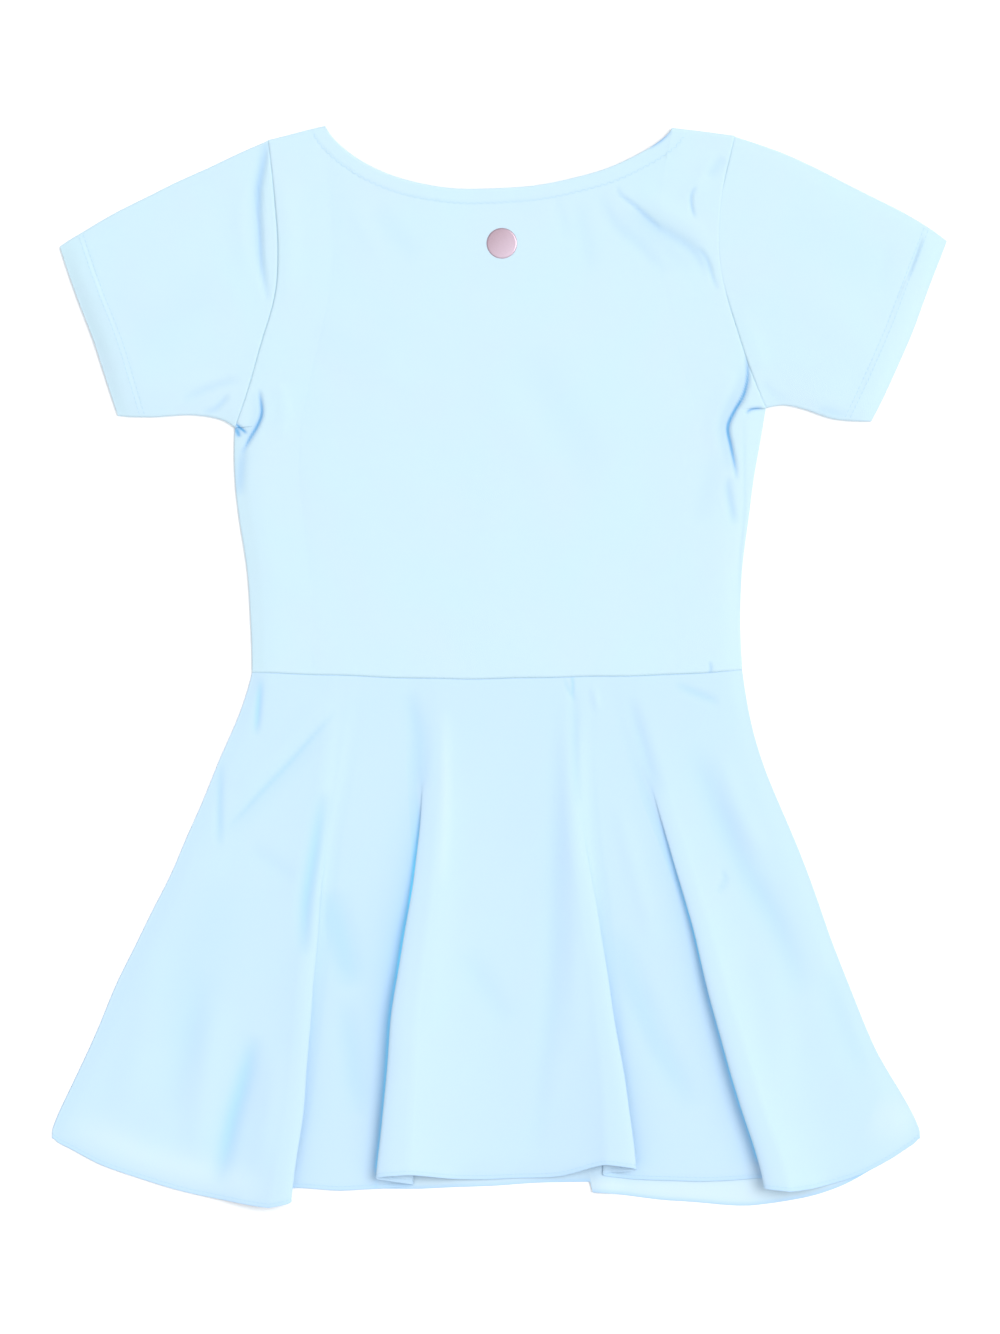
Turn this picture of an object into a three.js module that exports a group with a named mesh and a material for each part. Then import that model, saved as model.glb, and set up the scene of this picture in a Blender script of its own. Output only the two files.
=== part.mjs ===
// A child's short-sleeved dress: a stretch jersey bodice with a wide scoop neck, two set-in sleeves
// and a flared circle skirt in a lighter cloth. It lies flat on its back on the floor.
//
// Millimetres, +Z up. The neck points to +Y and the cuffs to -X and +X. The floor is z = 0, and the
// origin lies on it, in the middle of the whole outline. Left and right are the -X and +X sides.
import * as THREE from 'three';

const { lerp, smoothstep } = THREE.MathUtils;

// Cloth walls, the gap at a seam, and the gap between two layers that lie on each other
const jerseyWall = 1.2;
const skirtWall = 1.0;
const seamGap = 0.3;
const sleeveGap = 0.5;
const layerGap = 0.4;

// Hems turned in: the depth of the strip at the neck and at a cuff, and how much thicker it is
const neckHem = 7.4;
const cuffHem = 13;
const hemRelief = 0.5;

// Shoulder seams, and the scoop between them, which is lowest a little to the left of the middle
const shoulderLeft = new THREE.Vector2(-122.7, 278.8);
const shoulderRight = new THREE.Vector2(124.8, 280.9);
const neckLeft = new THREE.Vector2(-92, 285.7);
const neckRight = new THREE.Vector2(91.5, 285.2);
const neckLowest = new THREE.Vector2(-5, 252.6);
const scoopPower = { left: 2.5, right: 2.0, ends: 0.75 };
const backNeckDrop = 3;

// Armhole seams from the shoulder to the underarm, and side seams from there to the waist
const armholes = [
  { leftX: -122.7, leftY: 278.8, rightX: 124.8, rightY: 280.9 },
  { leftX: -118.5, leftY: 245, rightX: 117.5, rightY: 247 },
  { leftX: -117.5, leftY: 205, rightX: 116.5, rightY: 212 },
  { leftX: -126.5, leftY: 170, rightX: 127.5, rightY: 172 },
  { leftX: -140, leftY: 126.5, rightX: 141.3, rightY: 136.5 },
];
const sideSeams = [
  { leftX: -140, leftY: 126.5, rightX: 141.3, rightY: 136.5 },
  { leftX: -139.6, leftY: 98, rightX: 133.2, rightY: 90 },
  { leftX: -132.8, leftY: 45, rightX: 127.4, rightY: 40 },
  { leftX: -131, leftY: -3, rightX: 128.7, rightY: -2 },
];

// Sleeves: the folded upper edge, the seam under the arm and the cuff, a row for each point
const sleeveUpper = [
  { leftX: -122.7, leftY: 278.8, rightX: 124.8, rightY: 280.9 },
  { leftX: -172, leftY: 255.5, rightX: 154, rightY: 269.8 },
  { leftX: -208.6, leftY: 236.4, rightX: 209.6, rightY: 242.7 },
  { leftX: -233, leftY: 222, rightX: 237.2, rightY: 225.3 },
];
const sleeveUnder = [
  { leftX: -140, leftY: 126.5, rightX: 141.3, rightY: 136.5 },
  { leftX: -148, leftY: 130.8, rightX: 151.3, rightY: 138 },
  { leftX: -164, leftY: 133.2, rightX: 162.4, rightY: 135.9 },
  { leftX: -184.7, leftY: 131.8, rightX: 177.8, rightY: 130.8 },
  { leftX: -201.7, leftY: 132.3, rightX: 196.9, rightY: 129.3 },
];
const cuffs = [
  { leftX: -233, leftY: 222, rightX: 237.2, rightY: 225.3 },
  { leftX: -223.4, leftY: 194, rightX: 225, rightY: 194 },
  { leftX: -213.2, leftY: 167.5, rightX: 212, rightY: 162.2 },
  { leftX: -201.7, leftY: 132.3, rightX: 196.9, rightY: 129.3 },
];

// Places down the armhole, as fractions of its depth, where the panels and the sleeves both have a
// point. The first two are the stitch line of the neck hem and the step down beside it.
const armholeDepth = 160;
const hemStep = 1.5;
const armholePlaces = [
  neckHem / armholeDepth, (neckHem + hemStep) / armholeDepth,
  0.14, 0.24, 0.35, 0.46, 0.57, 0.68, 0.79, 0.88, 0.95,
];
const sideSeamSteps = 8;

// Waist seam: its height at the two sides, and how far it hangs down in the middle
const waist = { leftY: -3, rightY: -2, sag: 3.9 };

// Skirt side edges at even steps from the waist to the hem
const skirtSides = [
  { left: -131, right: 128.7 },
  { left: -149, right: 139.5 },
  { left: -170.5, right: 160 },
  { left: -194.5, right: 178.5 },
  { left: -216.5, right: 198.5 },
  { left: -238.2, right: 224 },
];

// Big folds of the upper skirt. faces is the side that the folded edge looks to (-1 left, 1 right).
// The next four columns are the edge's X at the waist, a third and two thirds down, and at the hem.
// swing is how far the cloth doubles back under the edge, and height how high the edge stands at the hem.
const skirtFolds = [
  { faces: 1, waist: -81, third: -92.5, twoThirds: -99.5, hem: -110.5, swing: 5, height: 8 },
  { faces: -1, waist: -42, third: -47.5, twoThirds: -59.5, hem: -64.5, swing: 6.5, height: 10 },
  { faces: 1, waist: 44, third: 49, twoThirds: 62.5, hem: 72, swing: 5, height: 8 },
  { faces: -1, waist: 66, third: 90, twoThirds: 112, hem: 139, swing: 6.5, height: 10 },
];

// The cloth between those folds, from left to right: the hem's Y at even steps across it, how high
// its middle stands at the hem over the layer below, and the steps that the wall is built in
const skirtSpans = [
  { start: -251.2, quarter: -265, middle: -274.3, threeQuarters: -281.4, end: -286.2, rise: 2.4, steps: 9 },
  { start: -276.6, quarter: -277.2, middle: -277.7, threeQuarters: -277.2, end: -276.6, rise: 0, steps: 4 },
  { start: -268.2, quarter: -271.4, middle: -271.4, threeQuarters: -270.3, end: -263.4, rise: 3, steps: 11 },
  { start: -271.4, quarter: -272, middle: -273, threeQuarters: -272.4, end: -271.4, rise: 0, steps: 5 },
  { start: -277.7, quarter: -275, middle: -269.8, threeQuarters: -260.8, end: -251.2, rise: 2.4, steps: 9 },
];

// Shape of a fold: half its width at the waist and at the hem, how round its two turns are, how far
// down the skirt the cloth starts and ends doubling back, and the steps across it
const foldReach = { waist: 4, hem: 7 };
const foldRoundness = 0.06;
const foldGrowth = { start: 0.05, end: 0.8 };
const foldSteps = 12;

// The lower skirt is folded once, so its hem steps down at foldShare of its width. The columns are
// those of the upper skirt. Above the step the cloth stands up in a soft ridge.
const backFoldShare = 0.619;
const backSpans = [
  { start: -250.6, quarter: -268, middle: -276, threeQuarters: -276, end: -273, steps: 16 },
  { start: -278.5, quarter: -283, middle: -285.6, threeQuarters: -275.5, end: -250.6, steps: 12 },
];
const backStepWidth = 0.004;
const backRidge = { x: 54, width: 7, height: 1.8 };

// Soft creases of bodice and sleeves: each runs between two points, and rises or sinks
const creases = [
  { fromX: -122.7, fromY: 272, toX: -128, toY: 222, width: 5, height: -1.2 },
  { fromX: -113, fromY: 262, toX: -110, toY: 190, width: 6, height: 0.9 },
  { fromX: -125.9, fromY: 146, toX: -129.5, toY: 112, width: 4, height: -1.3 },
  { fromX: -150, fromY: 148, toX: -190, toY: 138, width: 6, height: 1.1 },
  { fromX: -66, fromY: 240, toX: -44, toY: 214, width: 7, height: -0.7 },
  { fromX: -100, fromY: 170, toX: -38, toY: 146, width: 9, height: 0.8 },
  { fromX: 61, fromY: 255, toX: 112, toY: 208, width: 6, height: 1.3 },
  { fromX: 54, fromY: 250, toX: 90, toY: 206, width: 6, height: -0.9 },
  { fromX: 103, fromY: 262, toX: 104, toY: 228, width: 5, height: -0.9 },
  { fromX: 133, fromY: 165, toX: 122, toY: 126, width: 4, height: -1.3 },
  { fromX: 122, fromY: 128, toX: 126, toY: 84, width: 5, height: 1.2 },
  { fromX: 150, fromY: 200, toX: 196, toY: 168, width: 9, height: 0.9 },
  { fromX: -5, fromY: 158, toX: 32, toY: 90, width: 10, height: 0.7 },
];

// Soft valleys and ridges of the upper skirt, in the same columns
const skirtCreases = [
  { fromX: -90, fromY: -26, toX: -145, toY: -86, width: 7, height: 1.3 },
  { fromX: -95, fromY: -70, toX: -104, toY: -170, width: 6, height: -1.4 },
  { fromX: -147, fromY: -50, toX: -148, toY: -92, width: 5, height: -1 },
  { fromX: -135, fromY: -190, toX: -149, toY: -268, width: 6, height: -2 },
  { fromX: -158, fromY: -170, toX: -170, toY: -262, width: 7, height: 1.5 },
  { fromX: 30.5, fromY: -18, toX: 18, toY: -266, width: 9, height: -1.6 },
  { fromX: -30, fromY: -40, toX: -36, toY: -240, width: 8, height: 1.2 },
  { fromX: 101, fromY: -50, toX: 128, toY: -120, width: 7, height: -1.4 },
  { fromX: 128, fromY: -120, toX: 162, toY: -190, width: 8, height: -1.2 },
  { fromX: 140, fromY: -150, toX: 166, toY: -240, width: 8, height: 1.6 },
];

// Heights over the floor: the lowest that the bodice's upper face and the middle of the upper
// skirt's cloth may lie, and the middle of both at the waist seam. The others are how far the
// upper layer rises at the bodice's edges, over the chest, at the armholes and along the sleeves.
const lowestFrontTop = jerseyWall + layerGap + jerseyWall;
const lowestSkirtMiddle = skirtWall + layerGap + skirtWall / 2;
const waistMiddle = 2.6;
const edgeRise = 0.2;
const chestPuff = 1.4;
const armholeRise = 1.3;
const sleevePuff = 0.8;

const jersey = new THREE.MeshStandardMaterial({ color: 0xd5f1fc, roughness: 0.85, metalness: 0 });
const skirtCloth = new THREE.MeshStandardMaterial({ color: 0xcfeefb, roughness: 0.8, metalness: 0 });

// Smooth curve through the left or the right columns of a table
function tableCurve(rows, side) {
  const points = rows.map((row) => new THREE.Vector2(row[`${side}X`], row[`${side}Y`]));
  return new THREE.SplineCurve(points);
}

// Smooth value through numbers that stand at even steps from 0 to 1
function evenSpline(values) {
  const curve = new THREE.SplineCurve(values.map((value, step) => new THREE.Vector2(step, value)));
  return (t) => curve.getPoint(t).y;
}

// Point of a four-sided patch, from its four edges and the two fractions across it
function patchPoint(u, v, top, bottom, left, right, corners) {
  const x = (1 - v) * top.x + v * bottom.x + (1 - u) * left.x + u * right.x;
  const y = (1 - v) * top.y + v * bottom.y + (1 - u) * left.y + u * right.y;
  const upper = new THREE.Vector2().lerpVectors(corners.topLeft, corners.topRight, u);
  const lower = new THREE.Vector2().lerpVectors(corners.bottomLeft, corners.bottomRight, u);
  const mean = upper.lerp(lower, v);
  return new THREE.Vector2(x - mean.x, y - mean.y);
}

// Height that a table of creases adds at a point: a soft ridge or trough that fades at both ends
function creaseHeight(table, x, y) {
  let height = 0;
  for (const crease of table) {
    const alongX = crease.toX - crease.fromX;
    const alongY = crease.toY - crease.fromY;
    const t = ((x - crease.fromX) * alongX + (y - crease.fromY) * alongY) / (alongX ** 2 + alongY ** 2);
    const nearest = THREE.MathUtils.clamp(t, 0, 1);
    const away = Math.hypot(x - crease.fromX - nearest * alongX, y - crease.fromY - nearest * alongY);
    const fade = 1 - (2 * nearest - 1) ** 4;
    height += crease.height * fade * Math.exp(-((away / crease.width) ** 2));
  }
  return height;
}

// Closed wall between two grids of points. Rows run down the dress and columns run to +X.
function closedSheet(name, upperGrid, underGrid, material) {
  const lastRow = upperGrid.length - 1;
  const lastColumn = upperGrid[0].length - 1;
  const positions = [...upperGrid.flat(), ...underGrid.flat()].flatMap((point) => point.toArray());
  const upper = (row, column) => row * (lastColumn + 1) + column;
  const under = (row, column) => (lastRow + 1) * (lastColumn + 1) + upper(row, column);
  const index = [];
  const quad = (a, b, c, d) => index.push(a, b, c, a, c, d);
  for (let row = 0; row < lastRow; row += 1) {
    const next = row + 1;
    for (let column = 0; column < lastColumn; column += 1) {
      quad(upper(row, column), upper(next, column), upper(next, column + 1), upper(row, column + 1));
      quad(under(row, column), under(row, column + 1), under(next, column + 1), under(next, column));
    }
    quad(upper(next, 0), upper(row, 0), under(row, 0), under(next, 0));
    quad(upper(row, lastColumn), upper(next, lastColumn), under(next, lastColumn), under(row, lastColumn));
  }
  for (let column = 0; column < lastColumn; column += 1) {
    const next = column + 1;
    quad(upper(0, column), upper(0, next), under(0, next), under(0, column));
    quad(upper(lastRow, next), upper(lastRow, column), under(lastRow, column), under(lastRow, next));
  }
  return namedMesh(name, positions, index, material);
}

// Closed wall between an outer and an inner tube, open at both ends. Each ring closes on itself.
function closedTube(name, outerRings, innerRings, material, outwards) {
  const lastRing = outerRings.length - 1;
  const around = outerRings[0].length;
  const positions = [...outerRings.flat(), ...innerRings.flat()].flatMap((point) => point.toArray());
  const outer = (ring, step) => ring * around + (step % around);
  const inner = (ring, step) => (lastRing + 1) * around + outer(ring, step);
  const index = [];
  const quad = (a, b, c, d) => {
    if (outwards) {
      index.push(a, b, c, a, c, d);
    } else {
      index.push(a, c, b, a, d, c);
    }
  };
  for (let step = 0; step < around; step += 1) {
    for (let ring = 0; ring < lastRing; ring += 1) {
      quad(outer(ring, step), outer(ring + 1, step), outer(ring + 1, step + 1), outer(ring, step + 1));
      quad(inner(ring, step), inner(ring, step + 1), inner(ring + 1, step + 1), inner(ring + 1, step));
    }
    quad(outer(0, step), outer(0, step + 1), inner(0, step + 1), inner(0, step));
    quad(outer(lastRing, step + 1), outer(lastRing, step), inner(lastRing, step), inner(lastRing, step + 1));
  }
  return namedMesh(name, positions, index, material);
}

function namedMesh(name, positions, index, material) {
  const geometry = new THREE.BufferGeometry();
  geometry.setAttribute('position', new THREE.Float32BufferAttribute(positions, 3));
  geometry.setIndex(index);
  geometry.computeVertexNormals();
  const mesh = new THREE.Mesh(geometry, material);
  mesh.name = name;
  return mesh;
}

// Y of the scoop at x, from its lowest point up to the two neck corners
function scoopY(x) {
  const toLeft = x < neckLowest.x;
  const corner = toLeft ? neckLeft : neckRight;
  const power = toLeft ? scoopPower.left : scoopPower.right;
  const s = Math.min(1, (x - neckLowest.x) / (corner.x - neckLowest.x));
  return neckLowest.y + (corner.y - neckLowest.y) * (1 - (1 - s ** power) ** scoopPower.ends);
}

// Points along the top of a bodice panel: left shoulder, scoop, right shoulder. inNeck says which
// of them lie on the scoop, where the hem is turned in.
function bodiceTop(shoulderSteps, scoopSteps, drop) {
  const points = [];
  for (let step = 0; step < shoulderSteps; step += 1) {
    const point = new THREE.Vector2().lerpVectors(shoulderLeft, neckLeft, step / shoulderSteps);
    points.push({ point, inNeck: false });
  }
  for (let step = 0; step <= scoopSteps; step += 1) {
    const t = (2 * step) / scoopSteps - 1;
    const s = Math.sin((Math.PI / 2) * Math.abs(t));
    const x = lerp(neckLowest.x, t < 0 ? neckLeft.x : neckRight.x, s);
    points.push({ point: new THREE.Vector2(x, scoopY(x) - drop * (1 - s ** 6)), inNeck: s < 0.999 });
  }
  for (let step = 1; step <= shoulderSteps; step += 1) {
    const point = new THREE.Vector2().lerpVectors(neckRight, shoulderRight, step / shoulderSteps);
    points.push({ point, inNeck: false });
  }
  return points;
}

function waistY(fraction) {
  return lerp(waist.leftY, waist.rightY, fraction) - 4 * waist.sag * fraction * (1 - fraction);
}

// Rows down a bodice panel, each with its two edge points. arm runs from 0 to 1 down the armhole
// and stays 1 along the side seam.
function bodiceRows(sideSteps) {
  const edges = ['left', 'right'].map((side) => ({
    armhole: tableCurve(armholes, side),
    seam: tableCurve(sideSeams, side),
  }));
  const rows = [0, ...armholePlaces, 1].map((arm) => ({
    arm,
    left: edges[0].armhole.getPointAt(arm),
    right: edges[1].armhole.getPointAt(arm),
  }));
  for (let step = 1; step <= sideSteps; step += 1) {
    const t = step / sideSteps;
    rows.push({ arm: 1, left: edges[0].seam.getPointAt(t), right: edges[1].seam.getPointAt(t) });
  }
  return rows;
}

// Plan of a bodice panel: a grid of places, each with its fractions across and down
function bodicePlan(top, rows) {
  const waistLeft = rows.at(-1).left.clone();
  const waistRight = rows.at(-1).right.clone();
  const corners = {
    topLeft: shoulderLeft,
    topRight: shoulderRight,
    bottomLeft: waistLeft,
    bottomRight: waistRight,
  };
  return rows.map((row) => {
    const leftFraction = (shoulderLeft.y - row.left.y) / (shoulderLeft.y - waistLeft.y);
    const rightFraction = (shoulderRight.y - row.right.y) / (shoulderRight.y - waistRight.y);
    const v = (leftFraction + rightFraction) / 2;
    return top.map(({ point, inNeck }) => {
      const u = (point.x - shoulderLeft.x) / (shoulderRight.x - shoulderLeft.x);
      const bottom = new THREE.Vector2(lerp(waistLeft.x, waistRight.x, u), waistY(u) + seamGap / 2);
      const place = patchPoint(u, v, point, bottom, row.left, row.right, corners);
      return { x: place.x, y: place.y, u, v, arm: row.arm, inNeck };
    });
  });
}

// Height of the jersey's upper face at an armhole, arm from 0 at the shoulder to 1 at the underarm
function armholeTop(arm) {
  return lowestFrontTop + edgeRise + armholeRise * Math.sin(Math.PI * arm);
}

function bodiceFront() {
  const hemAt = (rowIndex, inNeck) => (inNeck && rowIndex < 2 ? hemRelief : 0);
  const plan = bodicePlan(bodiceTop(3, 18, 0), bodiceRows(sideSeamSteps));
  const upper = plan.map((row, rowIndex) => row.map(({ x, y, u, v, arm, inNeck }) => {
    const nearSides = (1 - u) ** 3 + u ** 3;
    const atEdge = lerp(armholeTop(0), armholeTop(arm), nearSides);
    const puff = chestPuff * Math.sqrt(Math.max(0, 16 * u * (1 - u) * v * (1 - v)));
    const towardsWaist = (waistMiddle + jerseyWall / 2 - atEdge) * smoothstep(v, 0.85, 1);
    const crease = creaseHeight(creases, x, y) * smoothstep(1 - v, 0, 0.08);
    const height = Math.max(lowestFrontTop, atEdge + puff + towardsWaist + crease);
    return new THREE.Vector3(x, y, height + hemAt(rowIndex, inNeck));
  }));
  const under = upper.map((row, rowIndex) => row.map(({ x, y, z }, column) => {
    const hem = hemAt(rowIndex, plan[rowIndex][column].inNeck);
    return new THREE.Vector3(x, y, z - jerseyWall - hem);
  }));
  return closedSheet('bodice_front', upper, under, jersey);
}

function bodiceBack() {
  const plan = bodicePlan(bodiceTop(2, 14, backNeckDrop), bodiceRows(sideSeamSteps));
  const upper = plan.map((row) => row.map(({ x, y }) => new THREE.Vector3(x, y, jerseyWall)));
  const under = plan.map((row) => row.map(({ x, y }) => new THREE.Vector3(x, y, 0)));
  return closedSheet('bodice_back', upper, under, jersey);
}

// A sleeve is a flattened tube. Along it the fraction runs from the armhole to the cuff, and across
// it from the folded upper edge to the seam under the arm.
function sleeve(side) {
  const outwards = side === 'left' ? -1 : 1;
  const armhole = tableCurve(armholes, side);
  const cuff = tableCurve(cuffs, side);
  const upperEdge = tableCurve(sleeveUpper, side);
  const underEdge = tableCurve(sleeveUnder, side);
  const corners = {
    topLeft: upperEdge.getPointAt(0),
    topRight: upperEdge.getPointAt(1),
    bottomLeft: underEdge.getPointAt(0),
    bottomRight: underEdge.getPointAt(1),
  };
  const place = (along, across) => {
    const seam = armhole.getPointAt(across);
    seam.x += outwards * sleeveGap;
    return patchPoint(along, across, upperEdge.getPointAt(along), underEdge.getPointAt(along),
      seam, cuff.getPointAt(across), corners);
  };
  const length = upperEdge.getLength();
  const hemStart = 1 - cuffHem / length;
  const alongs = [0, 0.14, 0.3, 0.46, 0.62, 0.78, hemStart - 0.01, hemStart, 1];
  const cornerAngles = [0, 45, 90].map((degrees) => THREE.MathUtils.degToRad(degrees));

  // One ring of the tube: the upper layer from fold to seam, then the lower layer back. inset is 0
  // for the outer face and the wall's thickness for the inner one.
  const ring = (along, inset) => {
    const width = place(along, 0).distanceTo(place(along, 1));
    const hem = along >= hemStart ? hemRelief : 0;
    const heightAt = (across) => {
      const { x, y } = place(along, across);
      const puff = sleevePuff * Math.sin(Math.PI * along) * Math.sin(Math.PI * across);
      const crease = creaseHeight(creases, x, y) * smoothstep(along, 0, 0.1);
      return Math.max(armholeTop(0), armholeTop(across) + puff + crease) + hem;
    };
    const edgeHeight = heightAt(0);
    const radius = edgeHeight / 2;
    const corner = cornerAngles.map((angle) => ({
      away: inset + (radius - inset) * (1 - Math.cos(angle)),
      share: Math.sin(angle),
    }));
    const middle = armholePlaces.map((fraction) => ({ away: fraction * width, share: 1 }));
    const upperLayer = [
      ...corner,
      ...middle,
      ...corner.toReversed().map(({ away, share }) => ({ away: width - away, share })),
    ];
    const point = ({ away, share }, layer) => {
      const across = away / width;
      const { x, y } = place(along, across);
      const half = (layer > 0 ? heightAt(across) - radius : radius) - inset;
      return new THREE.Vector3(x, y, radius + layer * half * share);
    };
    const lowerLayer = upperLayer.slice(1, -1).toReversed();
    return [...upperLayer.map((spot) => point(spot, 1)), ...lowerLayer.map((spot) => point(spot, -1))];
  };
  const outerRings = alongs.map((along) => ring(along, 0));
  const innerRings = alongs.map((along) => ring(along, jerseyWall));
  return closedTube(`sleeve_${side}`, outerRings, innerRings, jersey, side === 'left');
}

const skirtLeftX = evenSpline(skirtSides.map((row) => row.left));
const skirtRightX = evenSpline(skirtSides.map((row) => row.right));

// Wall of a skirt panel from rows of points in the middle of the cloth. Each point moves half the
// wall's thickness across the row's own line, so that the wall keeps its thickness round a fold.
function skirtSheet(name, rows) {
  const moved = (row, column, sign) => {
    const before = row[Math.max(0, column - 1)];
    const after = row[Math.min(row.length - 1, column + 1)];
    const run = after.x - before.x;
    const climb = after.z - before.z;
    const step = (sign * skirtWall) / 2 / Math.hypot(run, climb);
    return new THREE.Vector3(row[column].x - climb * step, row[column].y, row[column].z + run * step);
  };
  const upper = rows.map((row) => row.map((point, column) => moved(row, column, 1)));
  const under = rows.map((row) => row.map((point, column) => moved(row, column, -1)));
  return closedSheet(name, upper, under, skirtCloth);
}

// How far a fold has risen on its way from the waist, 0, to the hem, 1
function foldRise(down) {
  return down ** 0.6;
}

// A big fold at one height of the skirt: down runs from 0 at the waist to 1 at the hem
function foldAt(fold, down) {
  const edge = fold.spline(down);
  const reach = lerp(foldReach.waist, foldReach.hem, down);
  const swing = fold.swing * smoothstep(down, foldGrowth.start, foldGrowth.end);
  const turns = Math.PI * swing > reach;
  const turn = turns ? Math.acos(reach / (Math.PI * swing)) : 0;
  const tuck = swing * Math.sin(turn) - (reach * turn) / Math.PI;
  return { centre: edge - fold.faces * tuck, reach, swing, lift: fold.height * foldRise(down) };
}

// Adds to each row of a table of spans the hem's Y as a smooth function of the way across the span
function withHem(table) {
  return table.map((span) => ({
    ...span,
    hemY: evenSpline([span.start, span.quarter, span.middle, span.threeQuarters, span.end]),
  }));
}

function skirtFront() {
  const folds = skirtFolds.map((fold) => ({
    ...fold,
    spline: evenSpline([fold.waist, fold.third, fold.twoThirds, fold.hem]),
  }));
  const spans = withHem(skirtSpans);
  const rowSteps = 16;
  const rows = [];
  for (let rowStep = 0; rowStep <= rowSteps; rowStep += 1) {
    const down = rowStep / rowSteps;
    const low = lerp(waistMiddle, lowestSkirtMiddle, smoothstep(down, 0, 0.15));
    const shapes = folds.map((fold) => foldAt(fold, down));
    const row = [];
    const add = (x, hemY, z) => row.push({ x, hemY, z });
    spans.forEach((span, spanIndex) => {
      const before = folds[spanIndex - 1];
      const after = folds[spanIndex];
      const beforeShape = shapes[spanIndex - 1];
      const afterShape = shapes[spanIndex];
      const startX = before ? beforeShape.centre + beforeShape.reach : skirtLeftX(down);
      const endX = after ? afterShape.centre - afterShape.reach : skirtRightX(down);
      const startZ = before && before.faces < 0 ? low + beforeShape.lift : low;
      const endZ = after && after.faces > 0 ? low + afterShape.lift : low;
      const middleZ = low + span.rise * foldRise(down);
      for (let step = 0; step <= span.steps; step += 1) {
        const s = step / span.steps;
        const x = lerp(startX, endX, s);
        const z = middleZ + (startZ - middleZ) * (1 - s) ** 5 + (endZ - middleZ) * s ** 5;
        add(x, span.hemY(s), z);
      }
      if (after) {
        const nextHem = spans[spanIndex + 1].hemY(0);
        const highZ = low + afterShape.lift;
        for (let step = 1; step < foldSteps; step += 1) {
          const q = (2 * step) / foldSteps - 1;
          const x = afterShape.centre + afterShape.reach * q - afterShape.swing * Math.sin(Math.PI * q);
          const turn = Math.sin((Math.PI * q) / 2) / 2 - foldRoundness * Math.sin(2 * Math.PI * q);
          add(x, lerp(span.hemY(1), nextHem, (q + 1) / 2), lerp(low, highZ, 0.5 - after.faces * turn));
        }
      }
    });
    rows.push(row);
  }
  const waistWidth = skirtRightX(0) - skirtLeftX(0);
  const placed = rows.map((row, rowStep) => row.map(({ x, hemY, z }, column) => {
    const down = rowStep / rowSteps;
    const topY = waistY((rows[0][column].x - skirtLeftX(0)) / waistWidth) - seamGap / 2;
    const y = lerp(topY, hemY, down);
    const crease = creaseHeight(skirtCreases, x, y) * smoothstep(down, 0, 0.08);
    return { x, y, z: Math.max(z + crease, lowestSkirtMiddle + backLift(x, y)) };
  }));
  return skirtSheet('skirt_front', placed);
}

// Soft ridge of the lower skirt, which grows from halfway down to the hem
function backLift(x, y) {
  const grows = smoothstep(-y, 130, 260);
  return backRidge.height * grows * Math.exp(-(((x - backRidge.x) / backRidge.width) ** 2));
}

function skirtBack() {
  const rowSteps = 10;
  const [leftSpan, rightSpan] = withHem(backSpans);
  leftSpan.from = 0;
  leftSpan.to = backFoldShare;
  rightSpan.from = backFoldShare + backStepWidth;
  rightSpan.to = 1;
  const rows = [];
  for (let rowStep = 0; rowStep <= rowSteps; rowStep += 1) {
    const down = rowStep / rowSteps;
    const row = [];
    for (const span of [leftSpan, rightSpan]) {
      for (let step = 0; step <= span.steps; step += 1) {
        const across = lerp(span.from, span.to, step / span.steps);
        const x = lerp(skirtLeftX(down), skirtRightX(down), across);
        const y = lerp(waistY(across) - seamGap / 2, span.hemY(step / span.steps), down);
        row.push({ x, y, z: skirtWall / 2 + backLift(x, y) });
      }
    }
    rows.push(row);
  }
  return skirtSheet('skirt_back', rows);
}

const dress = new THREE.Group();
dress.add(bodiceFront(), bodiceBack(), sleeve('left'), sleeve('right'), skirtFront(), skirtBack());

export default dress;
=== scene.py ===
import math

import bpy
import numpy as np
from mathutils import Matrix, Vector
from mathutils.bvhtree import BVHTree


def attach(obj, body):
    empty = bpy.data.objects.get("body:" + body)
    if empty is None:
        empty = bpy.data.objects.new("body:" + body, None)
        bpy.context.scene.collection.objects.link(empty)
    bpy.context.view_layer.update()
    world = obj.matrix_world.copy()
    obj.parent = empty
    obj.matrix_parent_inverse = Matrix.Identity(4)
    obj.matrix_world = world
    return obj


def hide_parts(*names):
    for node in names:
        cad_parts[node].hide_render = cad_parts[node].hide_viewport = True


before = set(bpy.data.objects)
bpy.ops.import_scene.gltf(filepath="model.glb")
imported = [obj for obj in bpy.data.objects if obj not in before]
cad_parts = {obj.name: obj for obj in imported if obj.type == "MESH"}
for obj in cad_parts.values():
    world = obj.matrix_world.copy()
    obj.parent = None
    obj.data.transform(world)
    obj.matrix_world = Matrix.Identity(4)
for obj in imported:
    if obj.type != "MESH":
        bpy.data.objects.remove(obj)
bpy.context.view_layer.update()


# Lower panel of the bodice. It is cut from stretch jersey, a fine weft knit, and lies flat on the
# floor. Its shoulder, armhole and side seams run under those of the upper panel, and its scoop is
# cut a little deeper, so it doesn't show past the upper one.

MM = 0.001
JERSEY = 0.6
SHOULDER_LEFT = (-122.7, 278.8)
SHOULDER_RIGHT = (124.8, 280.9)
NECK_LEFT = (-92.0, 285.7)
NECK_RIGHT = (91.5, 285.2)
NECK_LOWEST = (-5.0, 252.6)
SCOOP_POWER = {"left": 2.5, "right": 2.0, "ends": 0.75}
BACK_NECK_DROP = 3.0
WAIST = {"left": -3.0, "right": -2.0, "sag": 3.9}
SEAM_GAP = 0.1

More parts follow.
